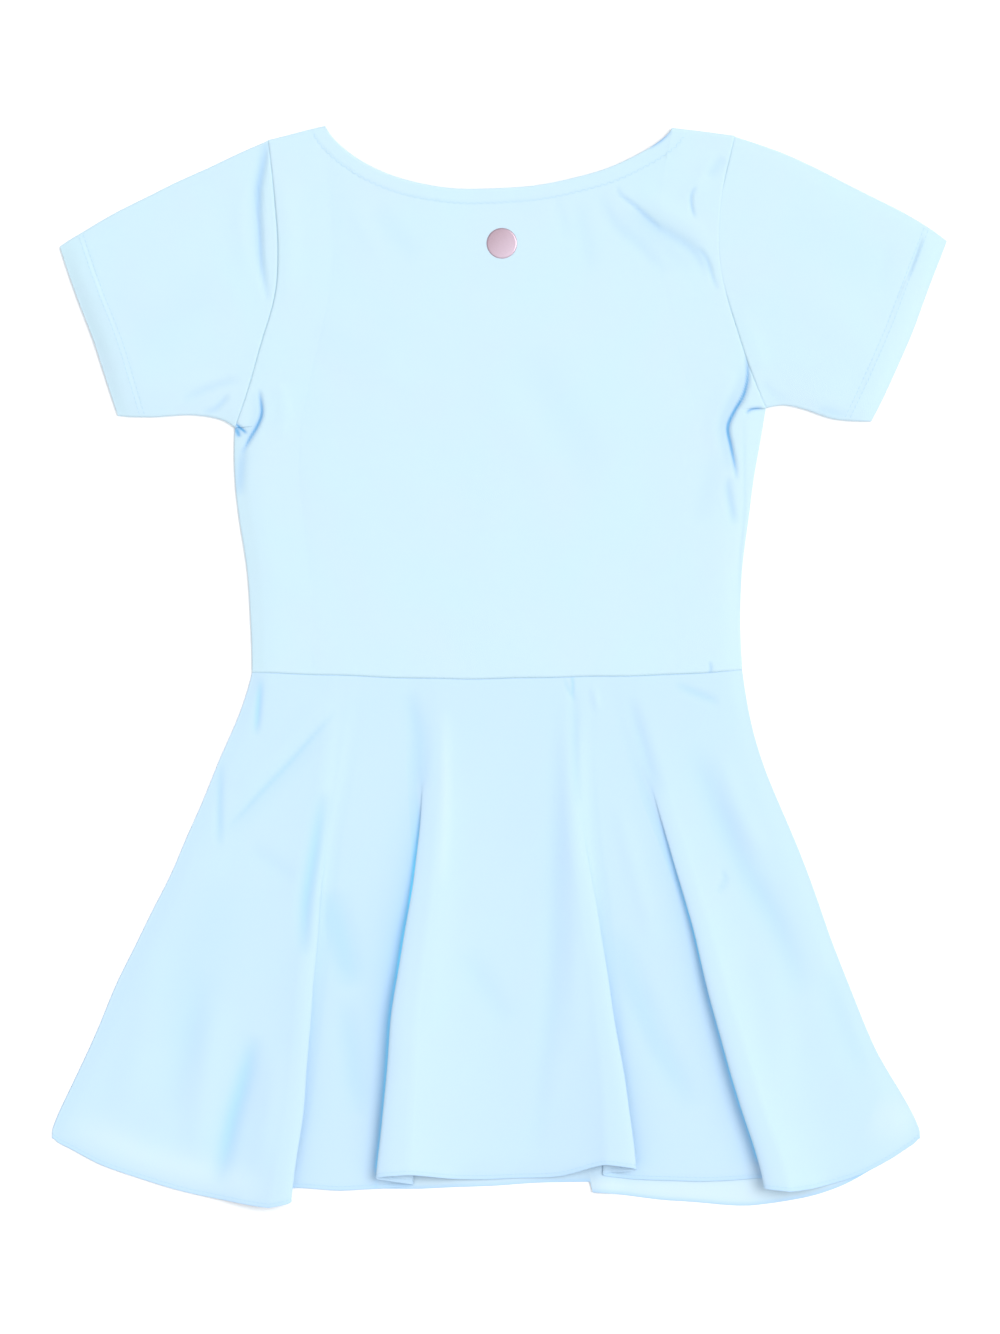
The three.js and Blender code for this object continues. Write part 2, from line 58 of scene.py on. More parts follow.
# Armhole seams from the shoulder down to the underarm, then side seams down to the waist
ARMHOLE = {
    "left": [(-122.7, 278.8), (-118.5, 245), (-117.5, 205), (-126.5, 170), (-140, 126.5)],
    "right": [(124.8, 280.9), (117.5, 247), (116.5, 212), (127.5, 172), (141.3, 136.5)],
}
SIDE_SEAM = {
    "left": [(-140, 126.5), (-139.6, 98), (-132.8, 45), (-131, -3)],
    "right": [(141.3, 136.5), (133.2, 90), (127.4, 40), (128.7, -2)],
}
# How far apart the grid's points are along the shoulders, along the scoop and down the panel
COARSE = {"shoulder": 2.0, "scoop": 3.0, "down": 2.6}
SCOOP_POINTS = 300
# How far a cloth edge stands out round, as a share of half its wall
RIM_REACH = 0.7


def even_spline(values, t):
    """Smooth value at t, from 0 to 1, through numbers or points at even steps."""
    values = np.asarray(values, float)
    last = len(values) - 1
    t = np.clip(np.asarray(t, float), 0, 1) * last
    step = np.minimum(t.astype(int), last - 1)
    f = t - step
    if values.ndim > 1:
        f = f[:, None]
    start, end = values[step], values[step + 1]
    leave = (end - values[np.maximum(step - 1, 0)]) / 2
    arrive = (values[np.minimum(step + 2, last)] - start) / 2
    curve = (2 * start - 2 * end + leave + arrive) * f**3
    return curve + (-3 * start + 3 * end - 2 * leave - arrive) * f**2 + leave * f + start


def smooth_path(points, count=400):
    """Path through a few points, as count points at even distances along it."""
    return along_path(even_spline(points, np.linspace(0, 1, count * 2)), np.linspace(0, 1, count))


def distances(path):
    """How far along a path each of its points lies."""
    steps = np.linalg.norm(np.diff(path, axis=0), axis=1)
    return np.concatenate([[0.0], np.cumsum(steps)])


def along_path(path, fractions):
    """Points at the given fractions of a path's length."""
    reached = distances(path)
    wanted = np.asarray(fractions) * reached[-1]
    places = [np.interp(wanted, reached, path[:, axis]) for axis in range(path.shape[1])]
    return np.stack(places, axis=1)


def smoothstep(value, start, end):
    """0 before start, 1 after end, and a soft rise between."""
    t = np.clip((np.asarray(value, float) - start) / (end - start), 0, 1)
    return t * t * (3 - 2 * t)


def stations(length, spacing, fine=(0.15, 0.4, 0.8, 1.3, 2.0, 3.0)):
    """Fractions along an edge: an even spacing, with finer steps close to both ends."""
    near = np.array((0.0,) + tuple(fine))
    count = max(2, int(round((length - 2 * near[-1]) / spacing)))
    middle = np.linspace(near[-1], length - near[-1], count + 1)[1:-1]
    return np.concatenate([near, middle, length - near[::-1]]) / length


def scoop_y(x):
    """Height of the neckline at x."""
    left = x < NECK_LOWEST[0]
    corner_x = np.where(left, NECK_LEFT[0], NECK_RIGHT[0])
    corner_y = np.where(left, NECK_LEFT[1], NECK_RIGHT[1])
    power = np.where(left, SCOOP_POWER["left"], SCOOP_POWER["right"])
    s = np.clip((x - NECK_LOWEST[0]) / (corner_x - NECK_LOWEST[0]), 0, 1)
    return NECK_LOWEST[1] + (corner_y - NECK_LOWEST[1]) * (1 - (1 - s**power) ** SCOOP_POWER["ends"])


def waist_y(fraction):
    """Height of the waist seam at a fraction of its width."""
    level = WAIST["left"] + (WAIST["right"] - WAIST["left"]) * fraction
    return level - 4 * WAIST["sag"] * fraction * (1 - fraction)


def patch(u, v, top, bottom, left, right):
    """Grid of plan points between four edges: top and bottom run along u, left and right down v."""
    U = u[None, :, None]
    V = v[:, None, None]
    across = (1 - U) * left[:, None] + U * right[:, None]
    down = (1 - V) * top[None] + V * bottom[None]
    corners = (1 - V) * ((1 - U) * top[0] + U * top[-1]) + V * ((1 - U) * bottom[0] + U * bottom[-1])
    return across + down - corners


def bodice_plan(spacing, drop):
    """Plan of a bodice panel: its points, how far across and down each is, from 0 to 1, and how far
    along the armhole each row is."""
    t = np.linspace(0, math.pi / 2, SCOOP_POINTS)
    ends = np.concatenate([np.sin(t[::-1]), np.sin(t[1:])])
    corner_x = np.where(np.arange(len(ends)) < SCOOP_POINTS, NECK_LEFT[0], NECK_RIGHT[0])
    x = NECK_LOWEST[0] + (corner_x - NECK_LOWEST[0]) * ends
    scoop = np.stack([x, scoop_y(x) - drop * (1 - ends**6)], axis=1)
    shoulder_left = np.array([SHOULDER_LEFT, NECK_LEFT])
    shoulder_right = np.array([NECK_RIGHT, SHOULDER_RIGHT])
    parts = [
        along_path(path, stations(distances(path)[-1], spacing[kind]))
        for path, kind in ((shoulder_left, "shoulder"), (scoop, "scoop"), (shoulder_right, "shoulder"))
    ]
    top = np.concatenate([parts[0], parts[1][1:], parts[2][1:]])
    u = (top[:, 0] - top[0, 0]) / (top[-1, 0] - top[0, 0])

    arm_rows = stations(distances(smooth_path(ARMHOLE["left"]))[-1], spacing["down"])
    side_rows = stations(distances(smooth_path(SIDE_SEAM["left"]))[-1], spacing["down"])[1:]
    left, right = [
        np.concatenate([
            along_path(smooth_path(ARMHOLE[side]), arm_rows),
            along_path(smooth_path(SIDE_SEAM[side]), side_rows),
        ])
        for side in ("left", "right")
    ]
    v = sum((edge[0, 1] - edge[:, 1]) / (edge[0, 1] - edge[-1, 1]) for edge in (left, right)) / 2
    bottom_x = left[-1, 0] + (right[-1, 0] - left[-1, 0]) * u
    bottom = np.stack([bottom_x, waist_y(u) + SEAM_GAP / 2], axis=1)
    plan = patch(u, v, top, bottom, left, right)
    arm = np.concatenate([arm_rows, np.ones(len(side_rows))])
    U, V = np.meshgrid(u, v)
    return plan, U, V, arm


def edge_distances(points):
    """How far each point of a grid lies from its top, bottom, left and right edge, along the cloth."""
    down = np.linalg.norm(np.diff(points, axis=0), axis=2)
    from_top = np.concatenate([np.zeros((1, points.shape[1])), np.cumsum(down, axis=0)])
    across = np.linalg.norm(np.diff(points, axis=1), axis=2)
    from_left = np.concatenate([np.zeros((points.shape[0], 1)), np.cumsum(across, axis=1)], axis=1)
    return from_top, from_top[-1:] - from_top, from_left, from_left[:, -1:] - from_left


def drift(points):
    """Shifts points a little, as the edges of cloth laid by hand wander. It is the same for every
    layer, so that the seams still meet."""
    x, y = points[..., 0], points[..., 1]
    moved = np.array(points, float)
    moved[..., 0] += 0.3 * np.sin(y / 23 + 1.3 * np.sin(x / 31)) + 0.12 * np.sin(y / 7.3 + x / 17 + 2)
    moved[..., 1] += 0.3 * np.sin(x / 19 + 1.1 * np.sin(y / 27)) + 0.14 * np.sin(x / 6.7 + y / 13 + 1)
    return moved


def add_object(name, data):
    """New object in the scene."""
    made = bpy.data.objects.new(name, data)
    bpy.context.scene.collection.objects.link(made)
    return made


def cloth_shell(name, middle, wall, painted_shade=0.0, wrap=False):
    """Closed thin shell round a grid of points in the middle of the cloth, in millimetres. Rows run
    down the dress and columns to +X. Its rim is rounded. The UV map holds the cloth's own run in
    metres, and a point attribute holds how much shade is painted on each point, up to 1, or, below 0,
    how much light is painted on, where the cloth looks lighter. With wrap, each row closes on itself,
    as on a sleeve."""
    middle = drift(middle)
    rows, columns = middle.shape[:2]
    if wrap:
        padded = np.concatenate([middle[:, -1:], middle, middle[:, :1]], axis=1)
        by_column = (padded[:, 2:] - padded[:, :-2]) / 2
    else:
        by_column = np.gradient(middle, axis=1)
    normal = np.cross(np.gradient(middle, axis=0), by_column)
    normal /= np.maximum(np.linalg.norm(normal, axis=2, keepdims=True), 1e-9)
    half = np.broadcast_to(np.asarray(wall, float), (rows, columns))[..., None] / 2
    deep_painted_shade = np.broadcast_to(np.asarray(painted_shade, float), (rows, columns)).ravel()
    points = [(middle + normal * half).reshape(-1, 3), (middle - normal * half).reshape(-1, 3)]
    painted_shades = [deep_painted_shade, deep_painted_shade * 0.5]

    index = np.arange(rows * columns).reshape(rows, columns)
    ring = np.concatenate([index, index[:, :1]], axis=1) if wrap else index
    upper = np.stack([ring[:-1, :-1], ring[1:, :-1], ring[1:, 1:], ring[:-1, 1:]], axis=-1)
    upper = upper.reshape(-1, 4)
    faces = [upper, upper[:, ::-1] + rows * columns]

    # The rim runs round each open edge, one point out from the middle of the wall
    if wrap:
        rims = [(index[0, ::-1], index[1, ::-1]), (index[-1], index[-2])]
    else:
        edge = [index[:-1, 0], index[-1, :-1], index[:0:-1, -1], index[0, :0:-1]]
        inner = [index[:-1, 1], index[-2, :-1], index[:0:-1, -2], index[1, :0:-1]]
        rims = [(np.concatenate(edge), np.concatenate(inner))]
    flat = middle.reshape(-1, 3)
    thick = half.reshape(-1, 1)
    total = 2 * rows * columns
    for order, inner in rims:
        way = flat[order] - flat[inner]
        way /= np.maximum(np.linalg.norm(way, axis=1, keepdims=True), 1e-9)
        points.append(flat[order] + way * thick[order] * RIM_REACH)
        painted_shades.append(deep_painted_shade[order])
        rim = total + np.arange(len(order))
        lower = order + rows * columns
        after = np.roll(np.arange(len(order)), -1)
        faces.append(np.stack([order, rim, rim[after], order[after]], axis=-1))
        faces.append(np.stack([rim, lower, lower[after], rim[after]], axis=-1))
        total += len(order)

    mesh = bpy.data.meshes.new(name)
    quads = np.concatenate(faces)
    mesh.vertices.add(total)
    mesh.vertices.foreach_set("co", (np.concatenate(points) * MM).ravel())
    mesh.loops.add(quads.size)
    mesh.loops.foreach_set("vertex_index", quads.ravel())
    mesh.polygons.add(len(quads))
    mesh.polygons.foreach_set("loop_start", np.arange(0, quads.size, 4))
    mesh.polygons.foreach_set("use_smooth", np.ones(len(quads), bool))
    mesh.update(calc_edges=True)

    from_top, _, from_left, _ = edge_distances(middle)
    run = np.stack([from_left, -from_top], axis=-1).reshape(-1, 2)
    run = np.concatenate([run, run] + [run[order] for order, _ in rims]) * MM
    mesh.uv_layers.new(name="cloth").data.foreach_set("uv", run[quads.ravel()].ravel())
    mesh.attributes.new("painted_shade", "FLOAT", "POINT").data.foreach_set("value", np.concatenate(painted_shades))
    mesh.validate()

    return add_object(name, mesh)


def add_group(name, inputs, outputs):
    """New shader node group with named sockets. Returns its tree and the nodes at its two ends."""
    tree = bpy.data.node_groups.new(name, "ShaderNodeTree")
    for label, value in inputs.items():
        is_colour = isinstance(value, tuple)
        kind = "NodeSocketColor" if is_colour else "NodeSocketFloat"
        tree.interface.new_socket(label, in_out="INPUT", socket_type=kind).default_value = value
    for label, kind in outputs.items():
        tree.interface.new_socket(label, in_out="OUTPUT", socket_type=kind)
    return tree, tree.nodes.new("NodeGroupInput"), tree.nodes.new("NodeGroupOutput")


def math_node(tree, operation, *values):
    """Math node whose inputs are sockets or numbers. Returns its output."""
    node = tree.nodes.new("ShaderNodeMath")
    node.operation = operation
    for slot, value in enumerate(values):
        if hasattr(value, "links"):
            tree.links.new(value, node.inputs[slot])
        else:
            node.inputs[slot].default_value = value
    return node.outputs[0]


def mix_node(tree, factor, a, b, clamp=True):
    """Mix of two colours, each a socket or numbers. Returns its output."""
    node = tree.nodes.new("ShaderNodeMix")
    node.data_type = "RGBA"
    node.clamp_factor = clamp
    tree.links.new(factor, node.inputs["Factor"])
    for label, value in (("A", a), ("B", b)):
        if hasattr(value, "links"):
            tree.links.new(value, node.inputs[label])
        else:
            node.inputs[label].default_value = (*value, 1)
    return node.outputs["Result"]


def noise_node(tree, vector, scale, detail):
    """Noise over the cloth's own run. Returns its value, from 0 to 1."""
    node = tree.nodes.new("ShaderNodeTexNoise")
    node.inputs["Scale"].default_value = scale
    node.inputs["Detail"].default_value = detail
    tree.links.new(vector, node.inputs["Vector"])
    return node.outputs["Fac"]


def cloth_run(tree):
    """The cloth's own run in metres: the whole vector, then across and down."""
    run = tree.nodes.new("ShaderNodeUVMap")
    run.uv_map = "cloth"
    split = tree.nodes.new("ShaderNodeSeparateXYZ")
    tree.links.new(run.outputs["UV"], split.inputs[0])
    return run.outputs["UV"], split.outputs["X"], split.outputs["Y"]


# Knit: columns of loops down the cloth, each loop two short slanting legs. Wale and Course are the
# loops' width and height in metres, and Wander is how uneven the yarn is.
RELIEF = {"Height": "NodeSocketFloat", "Mottle": "NodeSocketFloat"}
LOOPS = {"Wale": 0.0005, "Course": 0.0004, "Wander": 0.3}
knit, knit_in, knit_out = add_group("knit loops", LOOPS, RELIEF)
run, across, down = cloth_run(knit)
wale = math_node(knit, "DIVIDE", across, knit_in.outputs["Wale"])
course = math_node(knit, "DIVIDE", down, knit_in.outputs["Course"])
slant = math_node(knit, "MULTIPLY_ADD", math_node(knit, "PINGPONG", wale, 0.5), 1.6, course)
legs = math_node(knit, "SINE", math_node(knit, "MULTIPLY", slant, 2 * math.pi))
ribs = math_node(knit, "COSINE", math_node(knit, "MULTIPLY", wale, 2 * math.pi))
uneven = math_node(knit, "MULTIPLY", noise_node(knit, run, 900, 2), knit_in.outputs["Wander"])
relief = math_node(knit, "ADD", math_node(knit, "MULTIPLY_ADD", ribs, 0.5, legs), uneven)
knit.links.new(relief, knit_out.inputs["Height"])
knit.links.new(noise_node(knit, run, 22, 4), knit_out.inputs["Mottle"])

# Painted fold shade: shade is painted into the cloth's colour from a point attribute. It is lilac
# where the attribute is low and blue where it is high, with a painted glow, an emission, in the
# deepest folds. Below 0 the attribute paints light, and the cloth looks lighter, as where the skirt
# lies single. At half its full value it is all lilac in colour, and the blue comes in a little
# before that.
SHALLOW_GAIN = 2.0
DEEP_GAIN = 1.67
PAINTED_GLOW_POWER = 2.4
painted_fold_shade, depth_in, depth_out = add_group(
    "painted fold shade",
    {
        "Cloth": (1.0, 1.0, 1.0, 1.0), "Shallow painted shade": (1.0, 1.0, 1.0, 1.0),
        "Deep painted shade": (1.0, 1.0, 1.0, 1.0), "Light": (0.0, 0.0, 0.0, 1.0),
    },
    {"Color": "NodeSocketColor", "Painted glow": "NodeSocketColor"},
)
painted_shade = painted_fold_shade.nodes.new("ShaderNodeAttribute")
painted_shade.attribute_name = "painted_shade"
depth = painted_shade.outputs["Fac"]
shallower = math_node(painted_fold_shade, "MULTIPLY", depth, SHALLOW_GAIN)
deeper = math_node(painted_fold_shade, "MULTIPLY_ADD", depth, DEEP_GAIN, 1 - DEEP_GAIN)
to_shallow = math_node(painted_fold_shade, "MINIMUM", shallower, 1)
to_deep = math_node(painted_fold_shade, "MAXIMUM", deeper, 0)
cloth = depth_in.outputs["Cloth"]
for amount, target in ((to_shallow, "Shallow painted shade"), (to_deep, "Deep painted shade")):
    cloth = mix_node(painted_fold_shade, amount, cloth, depth_in.outputs[target], clamp=False)
painted_fold_shade.links.new(cloth, depth_out.inputs["Color"])
# Painted glow: an emission that grows with the painted shade
painted_glow_share = math_node(painted_fold_shade, "POWER", math_node(painted_fold_shade, "MAXIMUM", depth, 0), PAINTED_GLOW_POWER)
painted_glow_out = mix_node(painted_fold_shade, painted_glow_share, (0, 0, 0), depth_in.outputs["Light"])
painted_fold_shade.links.new(painted_glow_out, depth_out.inputs["Painted glow"])
RELIEF_HEIGHT = 0.00008


def add_relief(tree, height, strength, distance):
    """Gives a material's shader a small-scale relief from a height socket."""
    bump = tree.nodes.new("ShaderNodeBump")
    bump.inputs["Strength"].default_value = strength
    bump.inputs["Distance"].default_value = distance
    tree.links.new(height, bump.inputs["Height"])
    tree.links.new(bump.outputs["Normal"], tree.nodes["Principled BSDF"].inputs["Normal"])


def cloth_material(name, group, sizes, colour, tint, shallow_painted_shade, deep_painted_shade, painted_glow, bump, rough, sheen):
    """Cloth with a small-scale relief from a node group, a faint tint where its mottle is high,
    painted shade in the creases, lilac in shallow ones and blue in deep ones, and a soft sheen.
    sizes are the group's own inputs, by name. The two shade colours are painted shade, and the
    glow colour is painted light, an emission, in the deepest folds."""
    material = bpy.data.materials.new(name)
    material.use_nodes = True
    tree = material.node_tree
    shader = tree.nodes["Principled BSDF"]
    surface = tree.nodes.new("ShaderNodeGroup")
    surface.node_tree = group
    for label, value in sizes.items():
        surface.inputs[label].default_value = value
    folds = tree.nodes.new("ShaderNodeGroup")
    folds.node_tree = painted_fold_shade
    for label, value in (("Shallow painted shade", shallow_painted_shade), ("Deep painted shade", deep_painted_shade), ("Light", painted_glow)):
        folds.inputs[label].default_value = (*value, 1)
    tree.links.new(mix_node(tree, surface.outputs["Mottle"], colour, tint), folds.inputs["Cloth"])
    tree.links.new(folds.outputs["Color"], shader.inputs["Base Color"])
    tree.links.new(folds.outputs["Painted glow"], shader.inputs["Emission Color"])
    add_relief(tree, surface.outputs["Height"], bump, RELIEF_HEIGHT)
    for label, value in (
        ("Emission Strength", 1.0), ("Roughness", rough), ("Sheen Weight", sheen),
        ("Sheen Roughness", 0.4), ("Specular IOR Level", 0.25),
    ):
        shader.inputs[label].default_value = value
    return material


# The jersey's shallow and deep colours are painted shade in its creases, and its glow is painted light
jersey = cloth_material(
    "jersey", knit, {"Wale": 0.00055, "Course": 0.00045, "Wander": 0.4},
    colour=(0.523, 0.72, 0.775), tint=(0.547, 0.69, 0.80), shallow_painted_shade=(0.37, 0.565, 0.772),
    deep_painted_shade=(0.08, 0.34, 0.62), painted_glow=(0, 0.02, 0.05), bump=0.35, rough=0.78, sheen=0.12,
)


def dress_piece(shell, node, material):
    """Gives a shell its cloth, hangs it on the root body and hides the solid that it stands for."""
    shell.data.materials.append(material)
    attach(shell, "root")
    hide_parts(node)


plan, _, _, _ = bodice_plan(COARSE, BACK_NECK_DROP)
flat_layer = np.concatenate([plan, np.full(plan.shape[:2] + (1,), JERSEY / 2)], axis=2)
bodice_back = cloth_shell("bodice_back_cloth", flat_layer, JERSEY)
dress_piece(bodice_back, "bodice_back", jersey)


# Upper panel of the bodice, cut from the same jersey to the same outline. Its neck edge is turned
# in over elastic and stitched 7 mm down, and its other edges roll down into the seams. Soft folds
# run from the neck to the right armhole, and the cloth is creased under both arms.

LAYER_GAP = 0.4
CAD_JERSEY = 1.2
LOWEST_FRONT_TOP = CAD_JERSEY + LAYER_GAP + CAD_JERSEY
EDGE_RISE = 0.2
ARMHOLE_RISE = 1.3
CHEST_PUFF = 1.4
WAIST_MIDDLE = 2.6
NECK_HEM = 7.4
HEM_RISE = {"neck": 0.18, "cuff": 0.22}
STITCH_GROOVE = {"neck": 0.08, "cuff": 0.12, "width": 0.6}
NECK_FOLD = 0.35
LOWEST_TOP = 1.35
SEAM_TURN = {"radius": 0.9, "depth": 0.6}
CLEARANCE = 0.05
TOUCHING = JERSEY + CLEARANCE + JERSEY / 2
FINE = {"shoulder": 0.85, "scoop": 1.75, "down": 1.42}


def crease(path, width, height=0, step=0, tone=0):
    """A soft crease: where it runs, how wide it is, how far it rises or sinks, and how much shade is
    painted along it, which below 0 is painted light. step makes it a lip, higher on the left of its
    way than the right."""
    return {"path": path, "width": width, "height": height, "step": step, "tone": tone}


# Creases of the bodice. tone is the shade painted along each one, up to 1
BODICE_CREASES = [
    crease([(-115, 262), (-112, 230), (-112, 190)], width=6, height=0.5),
    crease([(-127.6, 147), (-126, 135), (-128, 128), (-132, 120.8), (-136.6, 112)],
           width=1.2, height=-1.6, step=0.6, tone=0.82),
    crease([(-130, 146), (-128.6, 135), (-131, 126), (-135, 117)], width=3.0, height=-0.3, tone=0.14),
    crease([(-140, 128.8), (-136.8, 126), (-133.4, 123.4)], width=0.9, height=-1.2, tone=1),
    crease([(-140, 127), (-138.6, 124), (-137.4, 121)], width=1.4, height=-1.0, tone=0.85),
    crease([(-135, 116), (-136.8, 104), (-137.4, 90)], width=2.6, height=-0.6, tone=0.3),
    crease([(-117, 150), (-114, 134), (-117, 120)], width=4, height=0.45),
    crease([(-66, 244), (-57, 230), (-44, 214)], width=6, height=-0.3, tone=0.05),
    crease([(-78, 246), (-72, 232), (-64, 216)], width=5, height=0.25),
    crease([(-100, 171), (-70, 160), (-38, 146)], width=9, height=0.4),
    crease([(-104, 178), (-80, 168), (-56, 160)], width=7, height=-0.25, tone=0.03),
    crease([(62.5, 255.2), (64.2, 250), (71.6, 244.4), (79.8, 237), (86.4, 231.2)],
           width=1.2, height=-0.5, step=0.3, tone=0.3),
    crease([(70, 244), (79.8, 235.5), (90, 229), (101, 221.5), (106.5, 214), (111, 206)],
           width=3.6, height=-0.8, step=0.3, tone=0.2),
    crease([(104, 222), (109.4, 215.7), (112.6, 205.6), (115, 198)], width=1.3, height=-0.5, tone=0.22),
    crease([(62, 243), (74, 232), (90, 220), (104, 208)], width=6, height=-0.4, tone=0.07),
    crease([(72, 253), (86, 243), (101, 233), (112, 220)], width=5, height=0.6),
    crease([(52, 252), (61.7, 233.7), (75, 222), (88.2, 207)], width=3.6, height=-0.45, tone=0.1),
    crease([(40, 247), (45, 226), (48, 207)], width=5, height=-0.35, tone=0.05),
    crease([(29, 250), (33, 238), (36, 224)], width=3, height=-0.3, tone=0.04),
    crease([(119, 270), (114.5, 264), (110, 258.5)], width=3.0, height=-0.5, tone=0.12),
    crease([(105, 254.5), (102.2, 250), (102, 244), (103.6, 237)],
           width=1.1, height=-0.6, step=0.2, tone=0.3),
    crease([(79, 273.6), (86, 278.6), (91.5, 284)], width=0.8, tone=0.5),
    crease([(113, 272), (106, 258), (98, 247)], width=4, height=0.4),
    crease([(130.2, 166), (131.7, 153), (129.3, 143), (124.3, 134.9), (121, 126.7), (122.7, 117),
            (124.8, 106.5), (125.9, 98)],
           width=1.15, height=-1.7, step=-0.6, tone=0.95),
    crease([(129, 160), (127.5, 148), (121.8, 138), (118.2, 127), (121, 112), (123, 102)],
           width=3.0, height=-0.4, tone=0.2),
    crease([(124, 156), (119, 142), (114, 128), (116, 112)], width=4.5, height=0.5),
    crease([(122, 101), (121, 94), (122.5, 84), (124, 74)], width=2.2, height=-0.7, tone=0.24),
    crease([(115, 114), (110, 96), (104, 74)], width=6, height=-0.4, tone=0.06),
    crease([(139.8, 136.6), (133.5, 136), (130.5, 133.5)], width=0.9, height=-0.8, tone=0.7),
    crease([(129, 133), (129.6, 120), (129.8, 90), (127, 50), (127, 20)],
           width=0.9, height=-0.3, tone=0.12),
    crease([(-5, 160), (12, 126), (32, 90)], width=11, height=0.35),
    crease([(14, 168), (34, 132), (54, 96)], width=12, height=-0.25, tone=0.04),
    crease([(-60, 190), (-8, 176), (50, 182)], width=16, height=0.3),
    crease([(-132, 60), (-110, 40), (-90, 24)], width=9, height=0.25),
    crease([(124, 52), (104, 32), (88, 10)], width=9, height=0.25),
    crease([(111, -5), (112, -1), (111.4, 3)], width=1.0, height=-0.3, tone=0.35),
]


def lay_creases(table, x, y):
    """How high a table's creases lift each point, and how much shade they paint on it. Each crease
    fades out softly at its two ends."""
    height = np.zeros_like(x)
    tone = np.zeros_like(x)
    for line in table:
        path = smooth_path(line["path"], 24)
        reach = 3.2 * line["width"]
        low = path.min(axis=0) - reach
        high = path.max(axis=0) + reach
        near = (x > low[0]) & (x < high[0]) & (y > low[1]) & (y < high[1])
        points = np.stack([x[near], y[near]], axis=-1)
        way = path[1:] - path[:-1]
        offset = points[:, None] - path[None, :-1]
        t = np.clip((offset * way).sum(axis=2) / (way**2).sum(axis=1), 0, 1)
        away = offset - t[..., None] * way
        gap = np.linalg.norm(away, axis=2)
        nearest = gap.argmin(axis=1)
        row = np.arange(len(points))
        turn = way[nearest, 0] * away[row, nearest, 1] - way[nearest, 1] * away[row, nearest, 0]
        d = gap[row, nearest] / line["width"]
        along = (nearest + t[row, nearest]) / len(way)
        shape = (1 - np.abs(2 * along - 1) ** 3) * np.exp(-(d**2))
        height[near] += shape * (line["height"] + line["step"] * np.sign(turn) * d)
        tone[near] = 1 - (1 - tone[near]) * (1 - line["tone"] * shape)
    return height, tone


def gap_to(path, x, y):
    """Distance from each point to the nearest place on a path."""
    nearest = np.full(x.shape, 1e9)
    for start, end in zip(path[:-1], path[1:]):
        way = end - start
        t = np.clip(((x - start[0]) * way[0] + (y - start[1]) * way[1]) / (way @ way), 0, 1)
        gap = np.hypot(x - start[0] - t * way[0], y - start[1] - t * way[1])
        nearest = np.minimum(nearest, gap)
    return nearest


def bell(distance, width):
    """1 in the middle, and a soft fall to both sides."""
    return np.exp(-((distance / width) ** 2))


def bank(distance, reach):
    """1 at an edge, and a soft fall to about 0 at twice reach from it."""
    return np.exp(-((distance / reach) ** 1.5))


def sink(z, level, share):
    """Lowers heights in place, by a share of what they stand above a level."""
    z -= (z - level) * share


def roll(distance, radius):
    """1 at an edge, 0 at radius from it, on a quarter circle, as cloth turns down into a seam."""
    t = np.clip(1 - distance / radius, 0, 1)
    return 1 - np.sqrt(np.maximum(0, 1 - t * t))


def ripple(x, y, seed, sizes, height):
    """Slight unevenness of cloth laid by hand: a few long waves in chance directions."""
    chance = np.random.default_rng(seed)
    total = np.zeros_like(x)
    for size in sizes:
        turn = chance.uniform(0, math.pi)
        phase = chance.uniform(0, 2 * math.pi, 2)
        along = x * math.cos(turn) + y * math.sin(turn)
        aside = y * math.cos(turn) - x * math.sin(turn)
        bend = 1.3 * np.sin(2 * math.pi * aside / (2.3 * size) + phase[1])
        total += np.sin(2 * math.pi * along / size + phase[0] + bend)
    return height * total / len(sizes)


def armhole_top(arm):
    """Height of the upper cloth's face along an armhole, from the shoulder, 0, to the underarm, 1."""
    return LOWEST_FRONT_TOP + EDGE_RISE + ARMHOLE_RISE * np.sin(math.pi * np.clip(arm, 0, 1))


def armhole_turn(arm, out):
    """How much of the cloth's height turns down into an armhole seam. On the right a soft fold lies
    over part of it, so the cloth barely turns down there."""
    if out < 0:
        return np.full_like(arm, SEAM_TURN["depth"])
    hidden = smoothstep(arm, 0.12, 0.22) * (1 - smoothstep(arm, 0.5, 0.65))
    return 0.5 * (1 - 0.9 * hidden)


plan, U, V, arm = bodice_plan(FINE, 0.0)
X, Y = plan[..., 0], plan[..., 1]
near_sides = (1 - U) ** 3 + U**3
at_edge = armhole_top(0.0) + (armhole_top(arm)[:, None] - armhole_top(0.0)) * near_sides
puff = CHEST_PUFF * np.sqrt(np.maximum(0, 16 * U * (1 - U) * V * (1 - V)))
to_waist = (WAIST_MIDDLE + CAD_JERSEY / 2 - at_edge) * smoothstep(V, 0.85, 1)
crease_height, painted_shade = lay_creases(BODICE_CREASES, X, Y)
top_z = at_edge + puff + to_waist + crease_height + ripple(X, Y, 11, (34, 47, 61, 90), 0.12)

from_top, from_waist, from_left, from_right = edge_distances(plan)
in_neck = (plan[0, :, 0] > NECK_LEFT[0] - 0.01) & (plan[0, :, 0] < NECK_RIGHT[0] + 0.01)
from_neck = gap_to(along_path(plan[0, in_neck], np.linspace(0, 1, 90)), X, Y)
neck_run = distances(plan[0])
gather = np.sin(neck_run / 1.15) * (0.6 + 0.4 * np.sin(neck_run / 7.0))
gather = gather + 0.5 * np.sin(neck_run / 2.9 + 1)
top_z += HEM_RISE["neck"] * (1 - smoothstep(from_neck, NECK_HEM - 0.9, NECK_HEM + 0.5))
top_z -= STITCH_GROOVE["neck"] * bell(from_neck - NECK_HEM, STITCH_GROOVE["width"])
top_z += 0.06 * gather[None] * bell(from_neck - NECK_HEM, 3.5)
# A faint painted shade along the neck's stitch groove
painted_shade += 0.02 * bell(from_neck - NECK_HEM, 0.8)
top_z = np.maximum(top_z, LOWEST_TOP)

